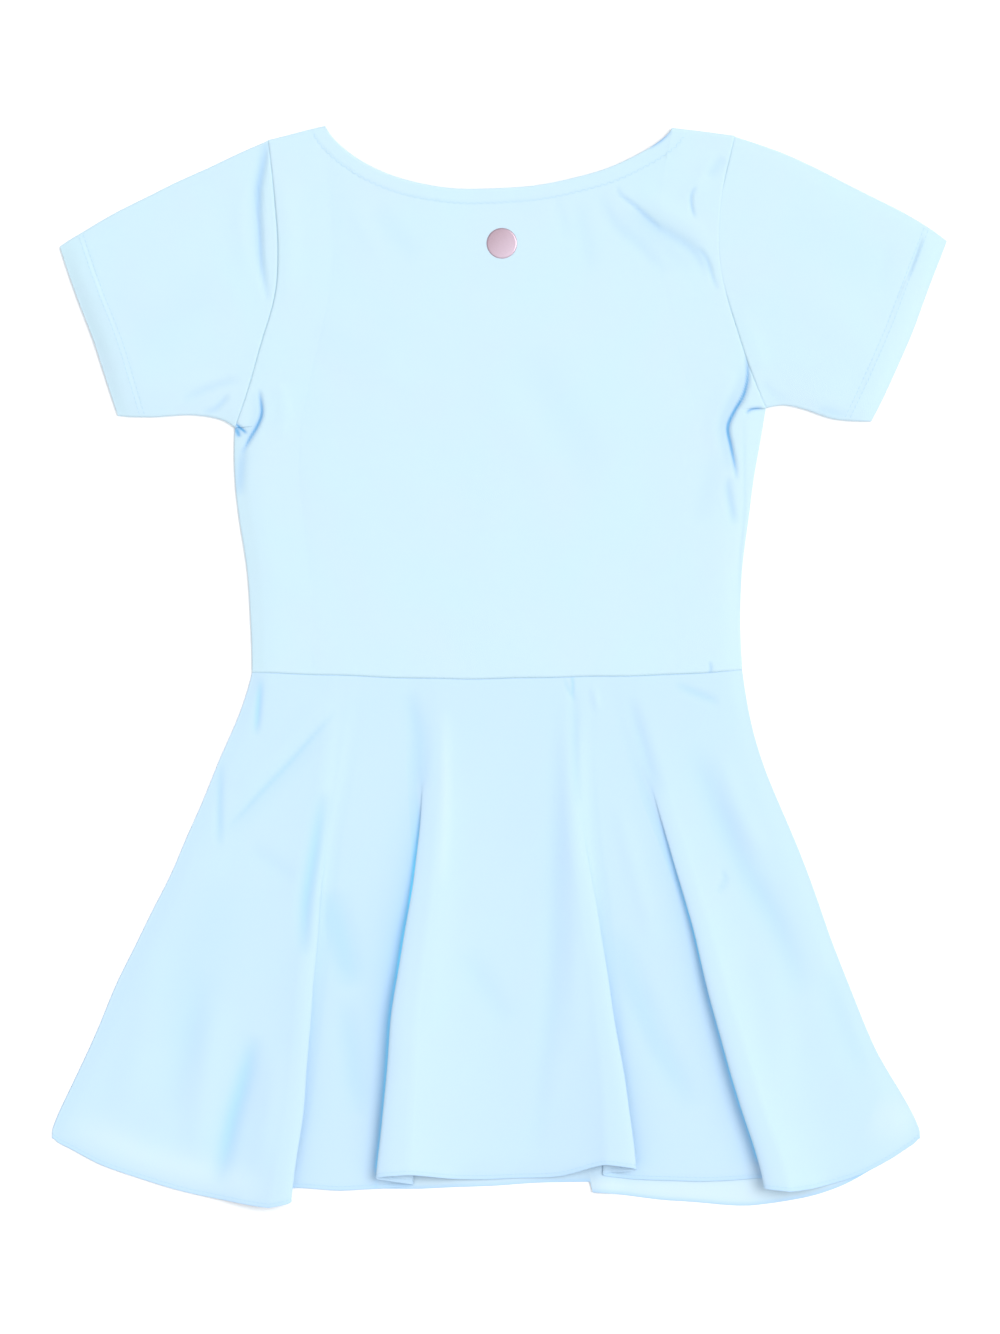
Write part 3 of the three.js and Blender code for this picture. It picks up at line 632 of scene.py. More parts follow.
middle_z = top_z - JERSEY / 2
side = np.minimum(from_left, from_right)
is_side = (arm >= 1)[:, None]
sink(middle_z, TOUCHING, np.where(is_side, 0.8 * bank(side, 6.0), 0))
at_armholes = sum(
    armhole_turn(arm, out)[:, None] * roll(from_side, SEAM_TURN["radius"])
    for out, from_side in ((-1, from_left), (1, from_right))
)
sink(middle_z, TOUCHING, np.where(is_side, 0.8 * roll(side, 1.2), at_armholes))
sink(middle_z, TOUCHING, roll(from_waist, SEAM_TURN["radius"]) * SEAM_TURN["depth"])
at_top = np.where(in_neck[None], NECK_FOLD * roll(from_top, 0.8), 0.95 * roll(from_top, 1.5))
sink(middle_z, TOUCHING, at_top)
front_middle = np.concatenate([plan, middle_z[..., None]], axis=2)
bodice_front = cloth_shell("bodice_front_cloth", front_middle, JERSEY, painted_shade)
dress_piece(
    bodice_front, "bodice_front", jersey
)


# Sleeves, set in at the armholes. Each is one piece of the jersey, folded along its upper edge and
# closed by a seam under the arm, so that it lies as a flat tube. The cuff is a 13 mm hem turned in.

CUFF_HEM = 13.0
SLEEVE_PUFF = 0.8
SLEEVE_GAP = 0.08
FOLD_HIGH = 2.1
TURN_INSET = 1
SLEEVE_UPPER = {
    "left": [(-122.7, 278.8), (-172, 255.5), (-208.6, 236.4), (-233, 222)],
    "right": [(124.8, 280.9), (154, 269.8), (209.6, 242.7), (237.2, 225.3)],
}
SLEEVE_UNDER = {
    "left": [(-140, 126.5), (-148, 130.8), (-164, 133.2), (-184.7, 131.8), (-201.7, 132.3)],
    "right": [(141.3, 136.5), (151.3, 138), (162.4, 135.9), (177.8, 130.8), (196.9, 129.3)],
}
CUFF = {
    "left": [(-233, 222), (-223.4, 194), (-213.2, 167.5), (-201.7, 132.3)],
    "right": [(237.2, 225.3), (225, 194), (212, 162.2), (196.9, 129.3)],
}
# Creases of the sleeves. tone is the shade painted along each one, up to 1
SLEEVE_CREASES = {
    "left": [
        crease([(-122.6, 279), (-124.6, 266), (-127.3, 250), (-126.6, 229), (-125.4, 212),
                (-122, 192)],
               width=1.7, height=-1.3, step=0.5, tone=0.7),
        crease([(-125.5, 272), (-129, 252), (-128.4, 228), (-125.5, 204)],
               width=3.2, height=-0.4, tone=0.26),
        crease([(-123.6, 282), (-125.6, 268), (-127.4, 252), (-127.2, 238)],
               width=2.2, height=-0.4, step=0.2, tone=0.5),
        crease([(-135, 258), (-137, 235), (-133, 205)], width=5, height=0.45),
        crease([(-137.5, 152), (-148, 149.5), (-159, 145), (-170, 140)],
               width=2.2, height=-0.7, step=0.2, tone=0.22),
        crease([(-143, 144), (-147, 140), (-151, 136), (-157.5, 134)],
               width=1.7, height=-0.7, tone=0.4),
        crease([(-150, 154), (-172, 148), (-192, 142)], width=5, height=0.4),
        crease([(-150, 232), (-178, 214), (-200, 190)], width=14, height=0.35),
        crease([(-145, 205), (-170, 188), (-196, 166)], width=13, height=-0.3, tone=0.05),
    ],
    "right": [
        crease([(126, 190), (134, 172), (140, 150)], width=5, height=0.4),
        crease([(138, 150), (146, 143), (156, 139)], width=3, height=-0.3, tone=0.12),
        crease([(150, 208), (174, 190), (198, 164)], width=13, height=0.4),
        crease([(140, 236), (170, 224), (204, 208)], width=14, height=-0.3, tone=0.05),
        crease([(168, 136), (176, 134), (184, 132)], width=2.4, height=-0.5, tone=0.25),
        crease([(224.5, 227), (221, 217), (216, 204)], width=1.1, height=-0.5, step=0.3, tone=0.4),
        crease([(205, 226), (204, 212), (200, 196)], width=5, height=-0.3, tone=0.06),
    ],
}


def fold_over(upper, lower, inner):
    """Half circle of cloth from the upper layer's edge down to the lower layer's, away from inner."""
    way = upper[:, :2] - inner[:, :2]
    way /= np.linalg.norm(way, axis=1, keepdims=True)
    radius = ((upper[:, 2] - lower[:, 2]) / 2)[:, None]
    bend = []
    for angle in np.radians([72, 50, 25, 0, -25, -50, -72]):
        place = upper[:, :2] + way * radius * math.cos(angle)
        z = lower[:, 2:] + radius * (1 + math.sin(angle))
        bend.append(np.concatenate([place, z], axis=1))
    return np.array(bend)


def sleeve_cloth(side):
    """Grid of the middle of a sleeve's cloth, with the shade painted on it: rows from armhole to cuff,
    columns round the tube. Also gives the upper layer alone and how far it lies from the cuff."""
    out = -1 if side == "left" else 1
    upper_edge = smooth_path(SLEEVE_UPPER[side])
    armhole = smooth_path(ARMHOLE[side])
    length = distances(upper_edge)[-1]
    near_hem = 1 - (CUFF_HEM + np.array([-1.2, -0.6, 0, 0.6, 1.2])) / length
    alongs = np.unique(np.concatenate([stations(length, 1.9), near_hem]))
    acrosses = stations(distances(armhole)[-1], 1.6)
    plan = patch(
        alongs, acrosses,
        along_path(upper_edge, alongs),
        along_path(smooth_path(SLEEVE_UNDER[side]), alongs),
        along_path(armhole, acrosses) + np.array([out * SLEEVE_GAP, 0]),
        along_path(smooth_path(CUFF[side]), acrosses),
    )
    x, y = plan[..., 0], plan[..., 1]
    from_fold, from_seam, from_armhole, from_cuff = edge_distances(plan)
    A = acrosses[:, None]
    T = alongs[None]
    crease_height, painted_shade = lay_creases(SLEEVE_CREASES[side], x, y)
    top_z = armhole_top(A) + SLEEVE_PUFF * np.sin(math.pi * T) * np.sin(math.pi * A)
    top_z = top_z + crease_height + ripple(x, y, 23 + out, (31, 44, 70), 0.12)
    top_z += HEM_RISE["cuff"] * (1 - smoothstep(from_cuff, CUFF_HEM - 0.5, CUFF_HEM + 0.4))
    top_z -= STITCH_GROOVE["cuff"] * bell(from_cuff - CUFF_HEM, STITCH_GROOVE["width"])
    top_z = np.maximum(top_z, FOLD_HIGH + JERSEY / 2)
    middle_z = top_z - JERSEY / 2
    edge = np.minimum(from_fold, from_seam)
    sink(middle_z, FOLD_HIGH, bank(edge, 4.0))
    sink(middle_z, TOUCHING, roll(from_armhole, SEAM_TURN["radius"]) * armhole_turn(A, out))
    sink(middle_z, TOUCHING, 0.75 * bank(from_cuff, 4.5))
    upper = np.concatenate([plan, middle_z[..., None]], axis=2)
    lower = np.concatenate([plan, np.full(x.shape + (1,), JERSEY / 2)], axis=2)

    # The flat layers stop a little inside the fold and the seam, where the cloth turns over
    keep = np.flatnonzero((from_fold[:, 0] > TURN_INSET) & (from_seam[:, 0] > TURN_INSET))
    first, last = keep[0], keep[-1]
    at_seam = fold_over(upper[last], lower[last], upper[last - 1])
    at_fold = fold_over(upper[first], lower[first], upper[first + 1])[::-1]
    tube = np.concatenate([upper[first:last + 1], at_seam, lower[first:last + 1][::-1], at_fold])
    deep_painted_shade = np.zeros(tube.shape[:2])
    deep_painted_shade[:last + 1 - first] = painted_shade[first:last + 1]
    tube, deep_painted_shade = np.swapaxes(tube, 0, 1), deep_painted_shade.T
    if out < 0:
        tube, deep_painted_shade = tube[:, ::-1], deep_painted_shade[:, ::-1]
    return tube, deep_painted_shade, upper[first:last + 1], from_cuff[first:last + 1]


cuff_layers = []
for side in ("left", "right"):
    tube, deep_painted_shade, upper, from_cuff = sleeve_cloth(side)
    sleeve = cloth_shell(f"sleeve_{side}_cloth", tube, JERSEY, deep_painted_shade, wrap=True)
    dress_piece(
        sleeve, f"sleeve_{side}", jersey
    )
    cuff_layers.append((upper, from_cuff))


# Lower half of the skirt, a half circle of light, slightly sheer cloth that lies on the floor. It
# is folded once, so its hem steps down to the right of the middle, and shows under the upper half.

SKIRT = 0.4
CAD_SKIRT = 1.0
SKIRT_SIDES = {
    "left": [-131, -149, -170.5, -194.5, -216.5, -238.2],
    "right": [128.7, 139.5, 160, 178.5, 198.5, 224],
}
BACK_HEMS = [
    {"from": 0.0, "to": 0.619, "y": [-250.6, -268, -276, -276, -273]},
    {"from": 0.622, "to": 1.0, "y": [-278.5, -283, -285.6, -275.5, -250.6]},
]
BACK_RIDGE = {"x": 54.0, "width": 7.0, "height": 1.8, "starts": 130, "full": 260}
# Past the upper half's hem the cloth lies single, and light is painted on it so it looks lighter.
# Both hems are painted a little darker
SINGLE_LAYER_PAINTED_LIGHT = {"tone": -0.22, "starts": 268, "full": 275}
HEM_TONE = {"back": 0.4, "front": 0.14}
BACK_COLUMN = 2.6
HEM_WIDTH = 460
SKIRT_LENGTH = 272
CORNER = {"reach": 3.5, "draw": 1.3}
HEM_LINE = 1.7


def back_lift(x, y):
    """Soft ridge of the lower half, which grows from halfway down to the hem."""
    grows = smoothstep(-y, BACK_RIDGE["starts"], BACK_RIDGE["full"])
    return BACK_RIDGE["height"] * grows * bell(x - BACK_RIDGE["x"], BACK_RIDGE["width"])


def round_corners(middle):
    """Rounds the two lower corners of a skirt half by drawing them in."""
    _, from_hem, from_left, from_right = edge_distances(middle)
    for from_side, way in ((from_left, 1), (from_right, -1)):
        near = CORNER["draw"] * bell(from_side, CORNER["reach"]) * bell(from_hem, CORNER["reach"])
        middle[..., 0] += way * near
        middle[..., 1] += near
    return middle


# Fine weave: threads that run over and under each other. Thread is their spacing in metres, Wander
# how uneven they are. Some lengthwise threads are a little thicker, which shows as faint streaks.
WEAVE = {"Thread": 0.0004, "Wander": 0.3, "Streak": 0.0012}
weave, weave_in, weave_out = add_group("fine weave", WEAVE, RELIEF)
run, across, down = cloth_run(weave)
waves = []
for way in (across, down):
    turns = math_node(weave, "DIVIDE", way, weave_in.outputs["Thread"])
    waves.append(math_node(weave, "SINE", math_node(weave, "MULTIPLY", turns, 2 * math.pi)))
over_under = math_node(weave, "MULTIPLY", *waves)
uneven = math_node(weave, "MULTIPLY", noise_node(weave, run, 1200, 2), weave_in.outputs["Wander"])
weave.links.new(math_node(weave, "ADD", over_under, uneven), weave_out.inputs["Height"])
stretched = weave.nodes.new("ShaderNodeCombineXYZ")
weave.links.new(math_node(weave, "DIVIDE", across, weave_in.outputs["Streak"]), stretched.inputs["X"])
weave.links.new(math_node(weave, "MULTIPLY", down, 14), stretched.inputs["Y"])
streaks = noise_node(weave, stretched.outputs["Vector"], 1, 2)
patches = noise_node(weave, run, 30, 5)
faint_streaks = math_node(weave, "MULTIPLY", streaks, 0.4)
mottle = math_node(weave, "MULTIPLY_ADD", patches, 0.6, faint_streaks)
weave.links.new(mottle, weave_out.inputs["Mottle"])

# The skirt cloth's shallow and deep colours are painted shade in its folds, and its glow is painted
# light in the deepest ones
skirt_cloth = cloth_material(
    "skirt cloth", weave, WEAVE,
    colour=(0.49, 0.676, 0.80), tint=(0.505, 0.657, 0.813), shallow_painted_shade=(0.335, 0.56, 0.83),
    deep_painted_shade=(0.11, 0.63, 0.95), painted_glow=(0.05, 0.62, 0.80), bump=0.25, rough=0.7, sheen=0.1,
)

row_places = stations(SKIRT_LENGTH, 2.3, fine=(0.2, 0.5, 0.9, 1.4, 2.2))
rows = []
for down in row_places:
    left_x, right_x = [even_spline(SKIRT_SIDES[side], down) for side in ("left", "right")]
    row = []
    for span in BACK_HEMS:
        s = stations((span["to"] - span["from"]) * HEM_WIDTH, BACK_COLUMN)
        across = span["from"] + (span["to"] - span["from"]) * s
        x = left_x + (right_x - left_x) * across
        top = waist_y(across) - SEAM_GAP / 2
        y = top + (even_spline(span["y"], s) - top) * down
        row.append(np.stack([x, y, SKIRT / 2 + back_lift(x, y)], axis=1))
    rows.append(np.concatenate(row))
back_middle = round_corners(np.array(rows))
_, from_hem, _, _ = edge_distances(back_middle)
# Painted light where the cloth lies single, and a darker line painted along the hem
painted_single_light = SINGLE_LAYER_PAINTED_LIGHT["tone"] * smoothstep(-back_middle[..., 1], SINGLE_LAYER_PAINTED_LIGHT["starts"], SINGLE_LAYER_PAINTED_LIGHT["full"])
at_hem = HEM_TONE["back"] * bell(from_hem, HEM_LINE)
skirt_back = cloth_shell("skirt_back_cloth", back_middle, SKIRT, painted_single_light + at_hem)
dress_piece(skirt_back, "skirt_back", skirt_cloth)


# Upper half of the skirt, the same half circle, which has fallen into five flutes. Four big folds
# part them: the two that look left stand up with a deep shadow beside them, partly cast and partly
# painted, the other two are soft.
# Smaller valleys and ridges run down the flutes, and the hem is a very narrow rolled one.

LOWEST_SKIRT = CAD_SKIRT + LAYER_GAP + SKIRT / 2
FOLD_ROUNDNESS = 0.06
# faces is the side that a folded edge looks to. The lists run from waist to hem at even steps: edge
# is the fold's X, reach half the width that it takes up, swing how far the cloth doubles back, and
# height how high it stands. shade is how deep the painted shadow gets at its foot, and spread how
# far that reaches from it.
SKIRT_FOLDS = [
    {"faces": 1, "edge": [-80.3, -85.6, -92.5, -96.2, -99.9, -104.1, -110.5],
     "reach": [10, 9.5, 9, 8.5, 8, 7.5, 7], "swing": [0, 1, 2.2, 3.2, 4.2, 5.5, 8],
     "height": [0.3, 1.5, 3, 4, 5, 5.8, 6.5], "shade": [0, 0.03, 0.08, 0.1, 0.1, 0.1, 0.12],
     "spread": [7, 7, 7, 7, 7, 7, 7]},
    {"faces": -1, "edge": [-40, -40.5, -43.2, -49.3, -56.7, -60.7, -64.9],
     "reach": [10, 9, 6.5, 6, 6, 6.5, 7], "swing": [0, 1.2, 5, 8, 9.5, 11, 13],
     "height": [0.3, 1.1, 3.4, 6.2, 8.1, 8.5, 8], "shade": [0, 0.1, 0.55, 0.92, 0.95, 0.85, 0.75],
     "spread": [8, 8, 9, 9, 6.5, 4.5, 3]},
    {"faces": 1, "edge": [42, 42, 45.8, 52.7, 59.6, 67, 71.8],
     "reach": [10, 9.5, 9, 8.5, 8, 7.5, 7], "swing": [0, 1, 2.4, 4, 5.5, 8.5, 12],
     "height": [0.3, 1.5, 3, 4.2, 5.2, 6.2, 7], "shade": [0, 0.03, 0.06, 0.1, 0.12, 0.15, 0.2],
     "spread": [7, 7, 7, 7, 7, 6, 5]},
    {"faces": -1, "edge": [64.9, 77.2, 89.7, 102.9, 114.2, 126.6, 140.2],
     "reach": [10, 9, 7, 6, 6, 6.5, 7], "swing": [0, 1.2, 4, 6, 8, 9, 10],
     "height": [0.3, 1.1, 2.9, 5, 7, 8.2, 8.2], "shade": [0, 0.12, 0.35, 0.55, 0.7, 0.85, 0.85],
     "spread": [8, 8, 7, 7, 6, 5.5, 5]},
]
# The cloth between the folds: the hem's Y at even steps across it, and how high its middle stands
SKIRT_SPANS = [
    {"hem": [-251.2, -265, -274.3, -281.4, -286.2], "rise": 2.0, "columns": 62},
    {"hem": [-276.6, -277.2, -277.7, -277.2, -276.6], "rise": 0.0, "columns": 18},
    {"hem": [-268.2, -271.4, -271.4, -270.3, -263.4], "rise": 2.6, "columns": 56},
    {"hem": [-271.4, -272, -273, -272.4, -271.4], "rise": 0.0, "columns": 24},
    {"hem": [-277.7, -275, -269.8, -260.8, -251.2], "rise": 2.0, "columns": 50},
]
# Creases of the upper skirt half. tone is the shade painted along each one, and below 0 painted light
SKIRT_CREASES = [
    crease([(-86, -24), (-112, -52), (-145, -87)], width=1.4, height=-0.5, step=0.4, tone=0.18),
    crease([(-90, -30), (-114, -56), (-146, -90)], width=5, height=-0.3, tone=0.07),
    crease([(-48.5, -12), (-43.5, -36), (-43.4, -66)], width=5, height=-0.5, tone=0.14),
    crease([(-146, -110), (-160, -160), (-172, -210)], width=17, tone=0.06),
    crease([(-90, -18), (-118, -48), (-140, -66)], width=6, height=0.8),
    crease([(-93, -66), (-99, -100), (-103, -128), (-104, -155)], width=4, height=-1.6, tone=0.31),
    crease([(-90, -118), (-84, -146), (-78, -172)], width=7, height=-1.0, tone=0.2),
    crease([(-126.5, -6), (-127.5, -18), (-129, -36)], width=2.0, height=-0.8, tone=0.35),
    crease([(-147, -50), (-148, -72), (-148, -96)], width=2.2, height=-0.5, step=0.3, tone=0.18),
    crease([(-134, -96), (-122, -104), (-108, -114)], width=5, height=-0.5, tone=0.04),
    crease([(-129, -194), (-136, -220), (-143, -245), (-150, -276)], width=5.2, height=-1.5, tone=0.33),
    crease([(-148, -176), (-154, -206), (-162, -262)], width=8, height=1.1),
    crease([(-118, -200), (-122, -235), (-128, -270)], width=7, height=0.9),
    crease([(-158, -160), (-166, -200), (-176, -240)], width=8, height=-0.7, tone=0.06),
    crease([(-181, -150), (-188, -190), (-200, -236)], width=9, height=0.7),
    crease([(-82, -176), (-78, -210), (-74, -240)], width=6, height=-0.6, tone=0.12),
    crease([(30.5, -14), (30, -70), (28, -124), (26.8, -177), (21, -230), (17, -264)],
           width=6, height=-0.8, tone=0.07),
    crease([(41, -30), (40, -90), (40, -150), (40, -210)], width=6, height=0.7),
    crease([(-30, -26), (-32, -90), (-34, -130), (-38, -200)], width=7, height=0.9),
    crease([(-20, -150), (-6, -172), (4, -190)], width=7, height=-0.5, tone=0.06),
    crease([(38, -4), (38.6, -9), (38.4, -16)], width=1.0, height=-0.5, tone=0.28),
    crease([(39, -12), (40, -40), (41, -76)], width=2.6, height=-0.4, tone=0.1),
    crease([(34, -6), (36, -12), (40, -19)], width=1.1, height=-0.4, tone=0.15),
    crease([(48, -6), (50, -14), (52, -24)], width=2.2, height=0.6),
    crease([(92, -9), (104, -14), (117, -19)], width=2.2, height=-0.6, tone=0.16),
    crease([(68, -16), (76, -42), (86, -70)], width=4, height=-0.6, tone=0.08),
    crease([(100, -40), (114, -74), (128, -106), (148, -140), (160, -176)],
           width=7, height=-1.1, tone=0.14),
    crease([(-29, -22), (-29, -70), (-31, -118)], width=3, height=0.4, tone=-0.1),
    crease([(-232, -240), (-190, -259), (-146, -271), (-118, -278)], width=9, tone=-0.16),
    crease([(196, -236), (208, -240), (220, -244)], width=12, tone=-0.12),
    crease([(116, -46), (128, -80), (142, -104)], width=6, height=0.8),
    crease([(117, -108), (119.5, -113), (115, -121)], width=1.6, height=-0.5, step=0.3, tone=0.12),
    crease([(140, -150), (146, -190), (150, -240)], width=9, height=0.9),
    crease([(172, -160), (182, -190), (194, -220)], width=7, height=-0.7, tone=0.06),
    crease([(60, -138), (70, -166), (82, -196), (103, -236)], width=7, height=-0.8, tone=0.14),
    crease([(62, -70), (72, -110), (82, -150)], width=5, height=0.6),
]


def fold_at(fold, down):
    """All that a fold is at one height of the skirt, and where its centre lies there."""
    here = {key: float(even_spline(values, down)) for key, values in fold.items() if key != "faces"}
    reach, swing = here["reach"], here["swing"]
    turn = math.acos(reach / (math.pi * swing)) if math.pi * swing > reach else 0.0
    tuck = swing * math.sin(turn) - reach * turn / math.pi
    return {**here, "faces": fold["faces"], "centre": here["edge"] - fold["faces"] * tuck}


def foot_shadow(fold, x):
    """How much shadow is painted on the low cloth beside a fold, from its edge outwards. It soon ends
    under the fold."""
    gap = (x - fold["edge"]) * fold["faces"]
    outside = np.maximum(gap, 0)
    depth = 0.5 * np.exp(-outside / 1.6) + 0.45 * np.exp(-outside / fold["spread"])
    return fold["shade"] * depth * np.exp(np.minimum(gap, 0) / 1.5)


fold_places = np.linspace(-1, 1, 33)[1:-1]
rows = []
tones = []
for down in row_places:
    low = WAIST_MIDDLE + (LOWEST_SKIRT - WAIST_MIDDLE) * float(smoothstep(down, 0, 0.15))
    left_x, right_x = [float(even_spline(SKIRT_SIDES[side], down)) for side in ("left", "right")]
    folds = [fold_at(fold, down) for fold in SKIRT_FOLDS]
    row = []
    tone = []
    for i, span in enumerate(SKIRT_SPANS):
        before = folds[i - 1] if i > 0 else None
        after = folds[i] if i < len(folds) else None
        start_x = before["centre"] + before["reach"] if before else left_x
        end_x = after["centre"] - after["reach"] if after else right_x
        start_z = low + (before["height"] if before and before["faces"] < 0 else 0)
        end_z = low + (after["height"] if after and after["faces"] > 0 else 0)
        middle_z = low + span["rise"] * down**0.8 * (1 - 0.6 * float(smoothstep(down, 0.7, 1)))
        s = np.linspace(0, 1, span["columns"])
        if not before:
            s = np.concatenate([stations(110, 110 / span["columns"])[:6], s[2:]])
        if not after:
            s = np.concatenate([s[:-2], stations(85, 85 / span["columns"])[-6:]])
        x = start_x + (end_x - start_x) * s
        z = middle_z + (start_z - middle_z) * (1 - s) ** 5 + (end_z - middle_z) * s**5
        row.append(np.stack([x, even_spline(span["hem"], s), z], axis=1))
        # Painted shadow at the foot of a fold that looks toward this cloth, weaker at the hem
        beside = [fold for fold, side in ((before, 1), (after, -1)) if fold and fold["faces"] == side]
        at_hem = 1 - 0.8 * smoothstep(down, 0.955, 0.985)
        tone.append(at_hem * sum((foot_shadow(fold, x) for fold in beside), np.zeros_like(x)))
        if after:
            q = fold_places
            x = after["centre"] + after["reach"] * q - after["swing"] * np.sin(math.pi * q)
            turn = np.sin(math.pi * q / 2) / 2 - FOLD_ROUNDNESS * np.sin(2 * math.pi * q)
            z = low + after["height"] * (0.5 - after["faces"] * turn)
            next_hem = SKIRT_SPANS[i + 1]["hem"][0]
            y = span["hem"][-1] + (next_hem - span["hem"][-1]) * (q + 1) / 2
            row.append(np.stack([x, y, z], axis=1))
            # Painted shade on the cloth of the fold itself, strongest where it meets the low cloth
            u = after["faces"] * q
            under = 0.28 * after["shade"] * smoothstep(u, -0.55, 0.1)
            under += foot_shadow(after, x) * smoothstep(u, 0.5, 0.7)
            tone.append(under * (1 - 0.75 * smoothstep(down, 0.88, 0.96)))
    rows.append(np.concatenate(row))
    tones.append(np.concatenate(tone))
rows = np.array(rows)
top_share = (rows[0, :, 0] - rows[0, 0, 0]) / (rows[0, -1, 0] - rows[0, 0, 0])
top_y = waist_y(top_share) - SEAM_GAP / 2
Y = top_y[None] + (rows[..., 1] - top_y[None]) * row_places[:, None]
X = rows[..., 0]
crease_height, crease_tone = lay_creases(SKIRT_CREASES, X, Y)
below_waist = smoothstep(row_places, 0, 0.05)[:, None]
Z = rows[..., 2] + (crease_height + ripple(X, Y, 37, (26, 38, 55, 80), 0.22)) * below_waist
Z = np.maximum(Z, LOWEST_SKIRT - 0.5 + back_lift(X, Y))
painted_shade = 1 - (1 - np.clip(np.array(tones), 0, 1)) * (1 - crease_tone)
skirt_middle = np.stack([X, Y, Z], axis=2)
# The front hem is painted a little darker
painted_shade += HEM_TONE["front"] * bell(edge_distances(skirt_middle)[1], HEM_LINE)
skirt_middle = round_corners(skirt_middle)
from_waist, from_hem, from_left, from_right = edge_distances(skirt_middle)
side = np.minimum(from_left, from_right)
resting = SKIRT + CLEARANCE + SKIRT / 2
above = skirt_middle[..., 2] - resting - back_lift(skirt_middle[..., 0], skirt_middle[..., 1])
at_low_hem = 0.75 * bank(from_hem, 6.0) * (1 - smoothstep(above, 2, 5))
skirt_middle[..., 2] -= np.maximum(above, 0) * at_low_hem
sink(skirt_middle[..., 2], resting, np.maximum(0.9 * bank(side, 5.0), 0.95 * roll(side, 1.2)))
sink(skirt_middle[..., 2], resting, roll(from_waist, SEAM_TURN["radius"]) * SEAM_TURN["depth"])
wall = SKIRT + 0.3 * (1 - smoothstep(from_hem, 0.7, 1.5))
skirt_front = cloth_shell("skirt_front_cloth", skirt_middle, wall, painted_shade)
dress_piece(
    skirt_front, "skirt_front", skirt_cloth
)


# Sewing. The neck hem is held by a zigzag, which stretches with the elastic, each cuff by two rows
# of straight stitches, and the skirt's narrow hem by one row. The thread has the cloth's colour.

THREAD = 0.28
SEWING = {
    "neck": {"length": 2.3, "slant": 38, "space": 1.75},
    "cuff": {"length": 2.1, "slant": 0, "space": 2.7},
    "hem": {"length": 1.7, "slant": 0, "space": 2.3},
}
SKIRT_HEM = 1.9
STITCH_LIFT = 0.02

thread = cloth_material(
    "thread", knit, {"Wale": 0.0001, "Course": 0.0001, "Wander": 0.5},
    colour=(0.46, 0.655, 0.79), tint=(0.43, 0.63, 0.78), shallow_painted_shade=(0.35, 0.55, 0.77),
    deep_painted_shade=(0.157, 0.463, 0.833), painted_glow=(0, 0, 0), bump=0.2, rough=0.6, sheen=0.1,
)

stitch_tree = bpy.data.node_groups.new("row of stitches", "GeometryNodeTree")
sockets = {}
for label, kind, value in (
    ("Line", "NodeSocketGeometry", None),
    ("Length", "NodeSocketFloat", 0.002),
    ("Space", "NodeSocketFloat", 0.002),
    ("Thread", "NodeSocketFloat", 0.0003),
    ("Slant", "NodeSocketFloat", 0.0),
    ("Uneven", "NodeSocketFloat", 0.08),
    ("Seed", "NodeSocketInt", 5),
    ("Material", "NodeSocketMaterial", None),
):
    socket = stitch_tree.interface.new_socket(label, in_out="INPUT", socket_type=kind)
    if value is not None:
        socket.default_value = value
    sockets[label] = socket.identifier
stitch_tree.interface.new_socket("Stitches", in_out="OUTPUT", socket_type="NodeSocketGeometry")


def stitch_node(kind, links=None, **settings):
    """Node of the stitch tree. links gives its inputs, as sockets or values, by name or place."""
    node = stitch_tree.nodes.new(kind)
    for name, value in settings.items():
        setattr(node, name, value)
    for key, value in (links or {}).items():
        if hasattr(value, "links"):
            stitch_tree.links.new(value, node.inputs[key])
        else:
            node.inputs[key].default_value = value
    return node


given = stitch_tree.nodes.new("NodeGroupInput").outputs
curve = stitch_node("GeometryNodeMeshToCurve", {"Mesh": given["Line"]})
spaced = stitch_node(
    "GeometryNodeResampleCurve", {"Curve": curve.outputs[0], "Length": given["Space"]}, mode="LENGTH"
)
points = stitch_node("GeometryNodeCurveToPoints", {"Curve": spaced.outputs[0]}, mode="EVALUATED")
lengthwise = stitch_node(
    "FunctionNodeAlignRotationToVector", {"Vector": points.outputs["Tangent"]}, axis="X"
)
index = stitch_node("GeometryNodeInputIndex")
odd = stitch_node("ShaderNodeMath", {0: index.outputs[0], 1: 2.0}, operation="MODULO")
sign = stitch_node("ShaderNodeMath", {0: odd.outputs[0], 1: 2.0, 2: -1.0}, operation="MULTIPLY_ADD")
chance = stitch_node("FunctionNodeRandomValue", {2: -1.0, 3: 1.0, "Seed": given["Seed"]})
wander = stitch_node("ShaderNodeMath", {0: chance.outputs[1], 1: given["Uneven"]}, operation="MULTIPLY")
angle = stitch_node(
    "ShaderNodeMath",
    {0: sign.outputs[0], 1: given["Slant"], 2: wander.outputs[0]},
    operation="MULTIPLY_ADD",
)
euler = stitch_node("ShaderNodeCombineXYZ", {"Z": angle.outputs[0]})
turned = stitch_node("FunctionNodeEulerToRotation", {0: euler.outputs[0]})
facing = stitch_node(
    "FunctionNodeRotateRotation",
    {0: lengthwise.outputs[0], 1: turned.outputs[0]},
    rotation_space="LOCAL",
)
bead = stitch_node("GeometryNodeMeshUVSphere", {"Segments": 8, "Rings": 5, "Radius": 0.5})
shape = stitch_node(
    "ShaderNodeCombineXYZ", {"X": given["Length"], "Y": given["Thread"], "Z": given["Thread"]}
)
placed = stitch_node(
    "GeometryNodeInstanceOnPoints",
    {"Points": points.outputs["Points"], "Instance": bead.outputs[0], "Rotation": facing.outputs[0],
     "Scale": shape.outputs[0]},
)
real = stitch_node("GeometryNodeRealizeInstances", {0: placed.outputs[0]})
smooth = stitch_node("GeometryNodeSetShadeSmooth", {0: real.outputs[0]})
sewn = stitch_node(
    "GeometryNodeSetMaterial", {"Geometry": smooth.outputs[0], "Material": given["Material"]}
)
stitch_tree.links.new(sewn.outputs[0], stitch_tree.nodes.new("NodeGroupOutput").inputs["Stitches"])


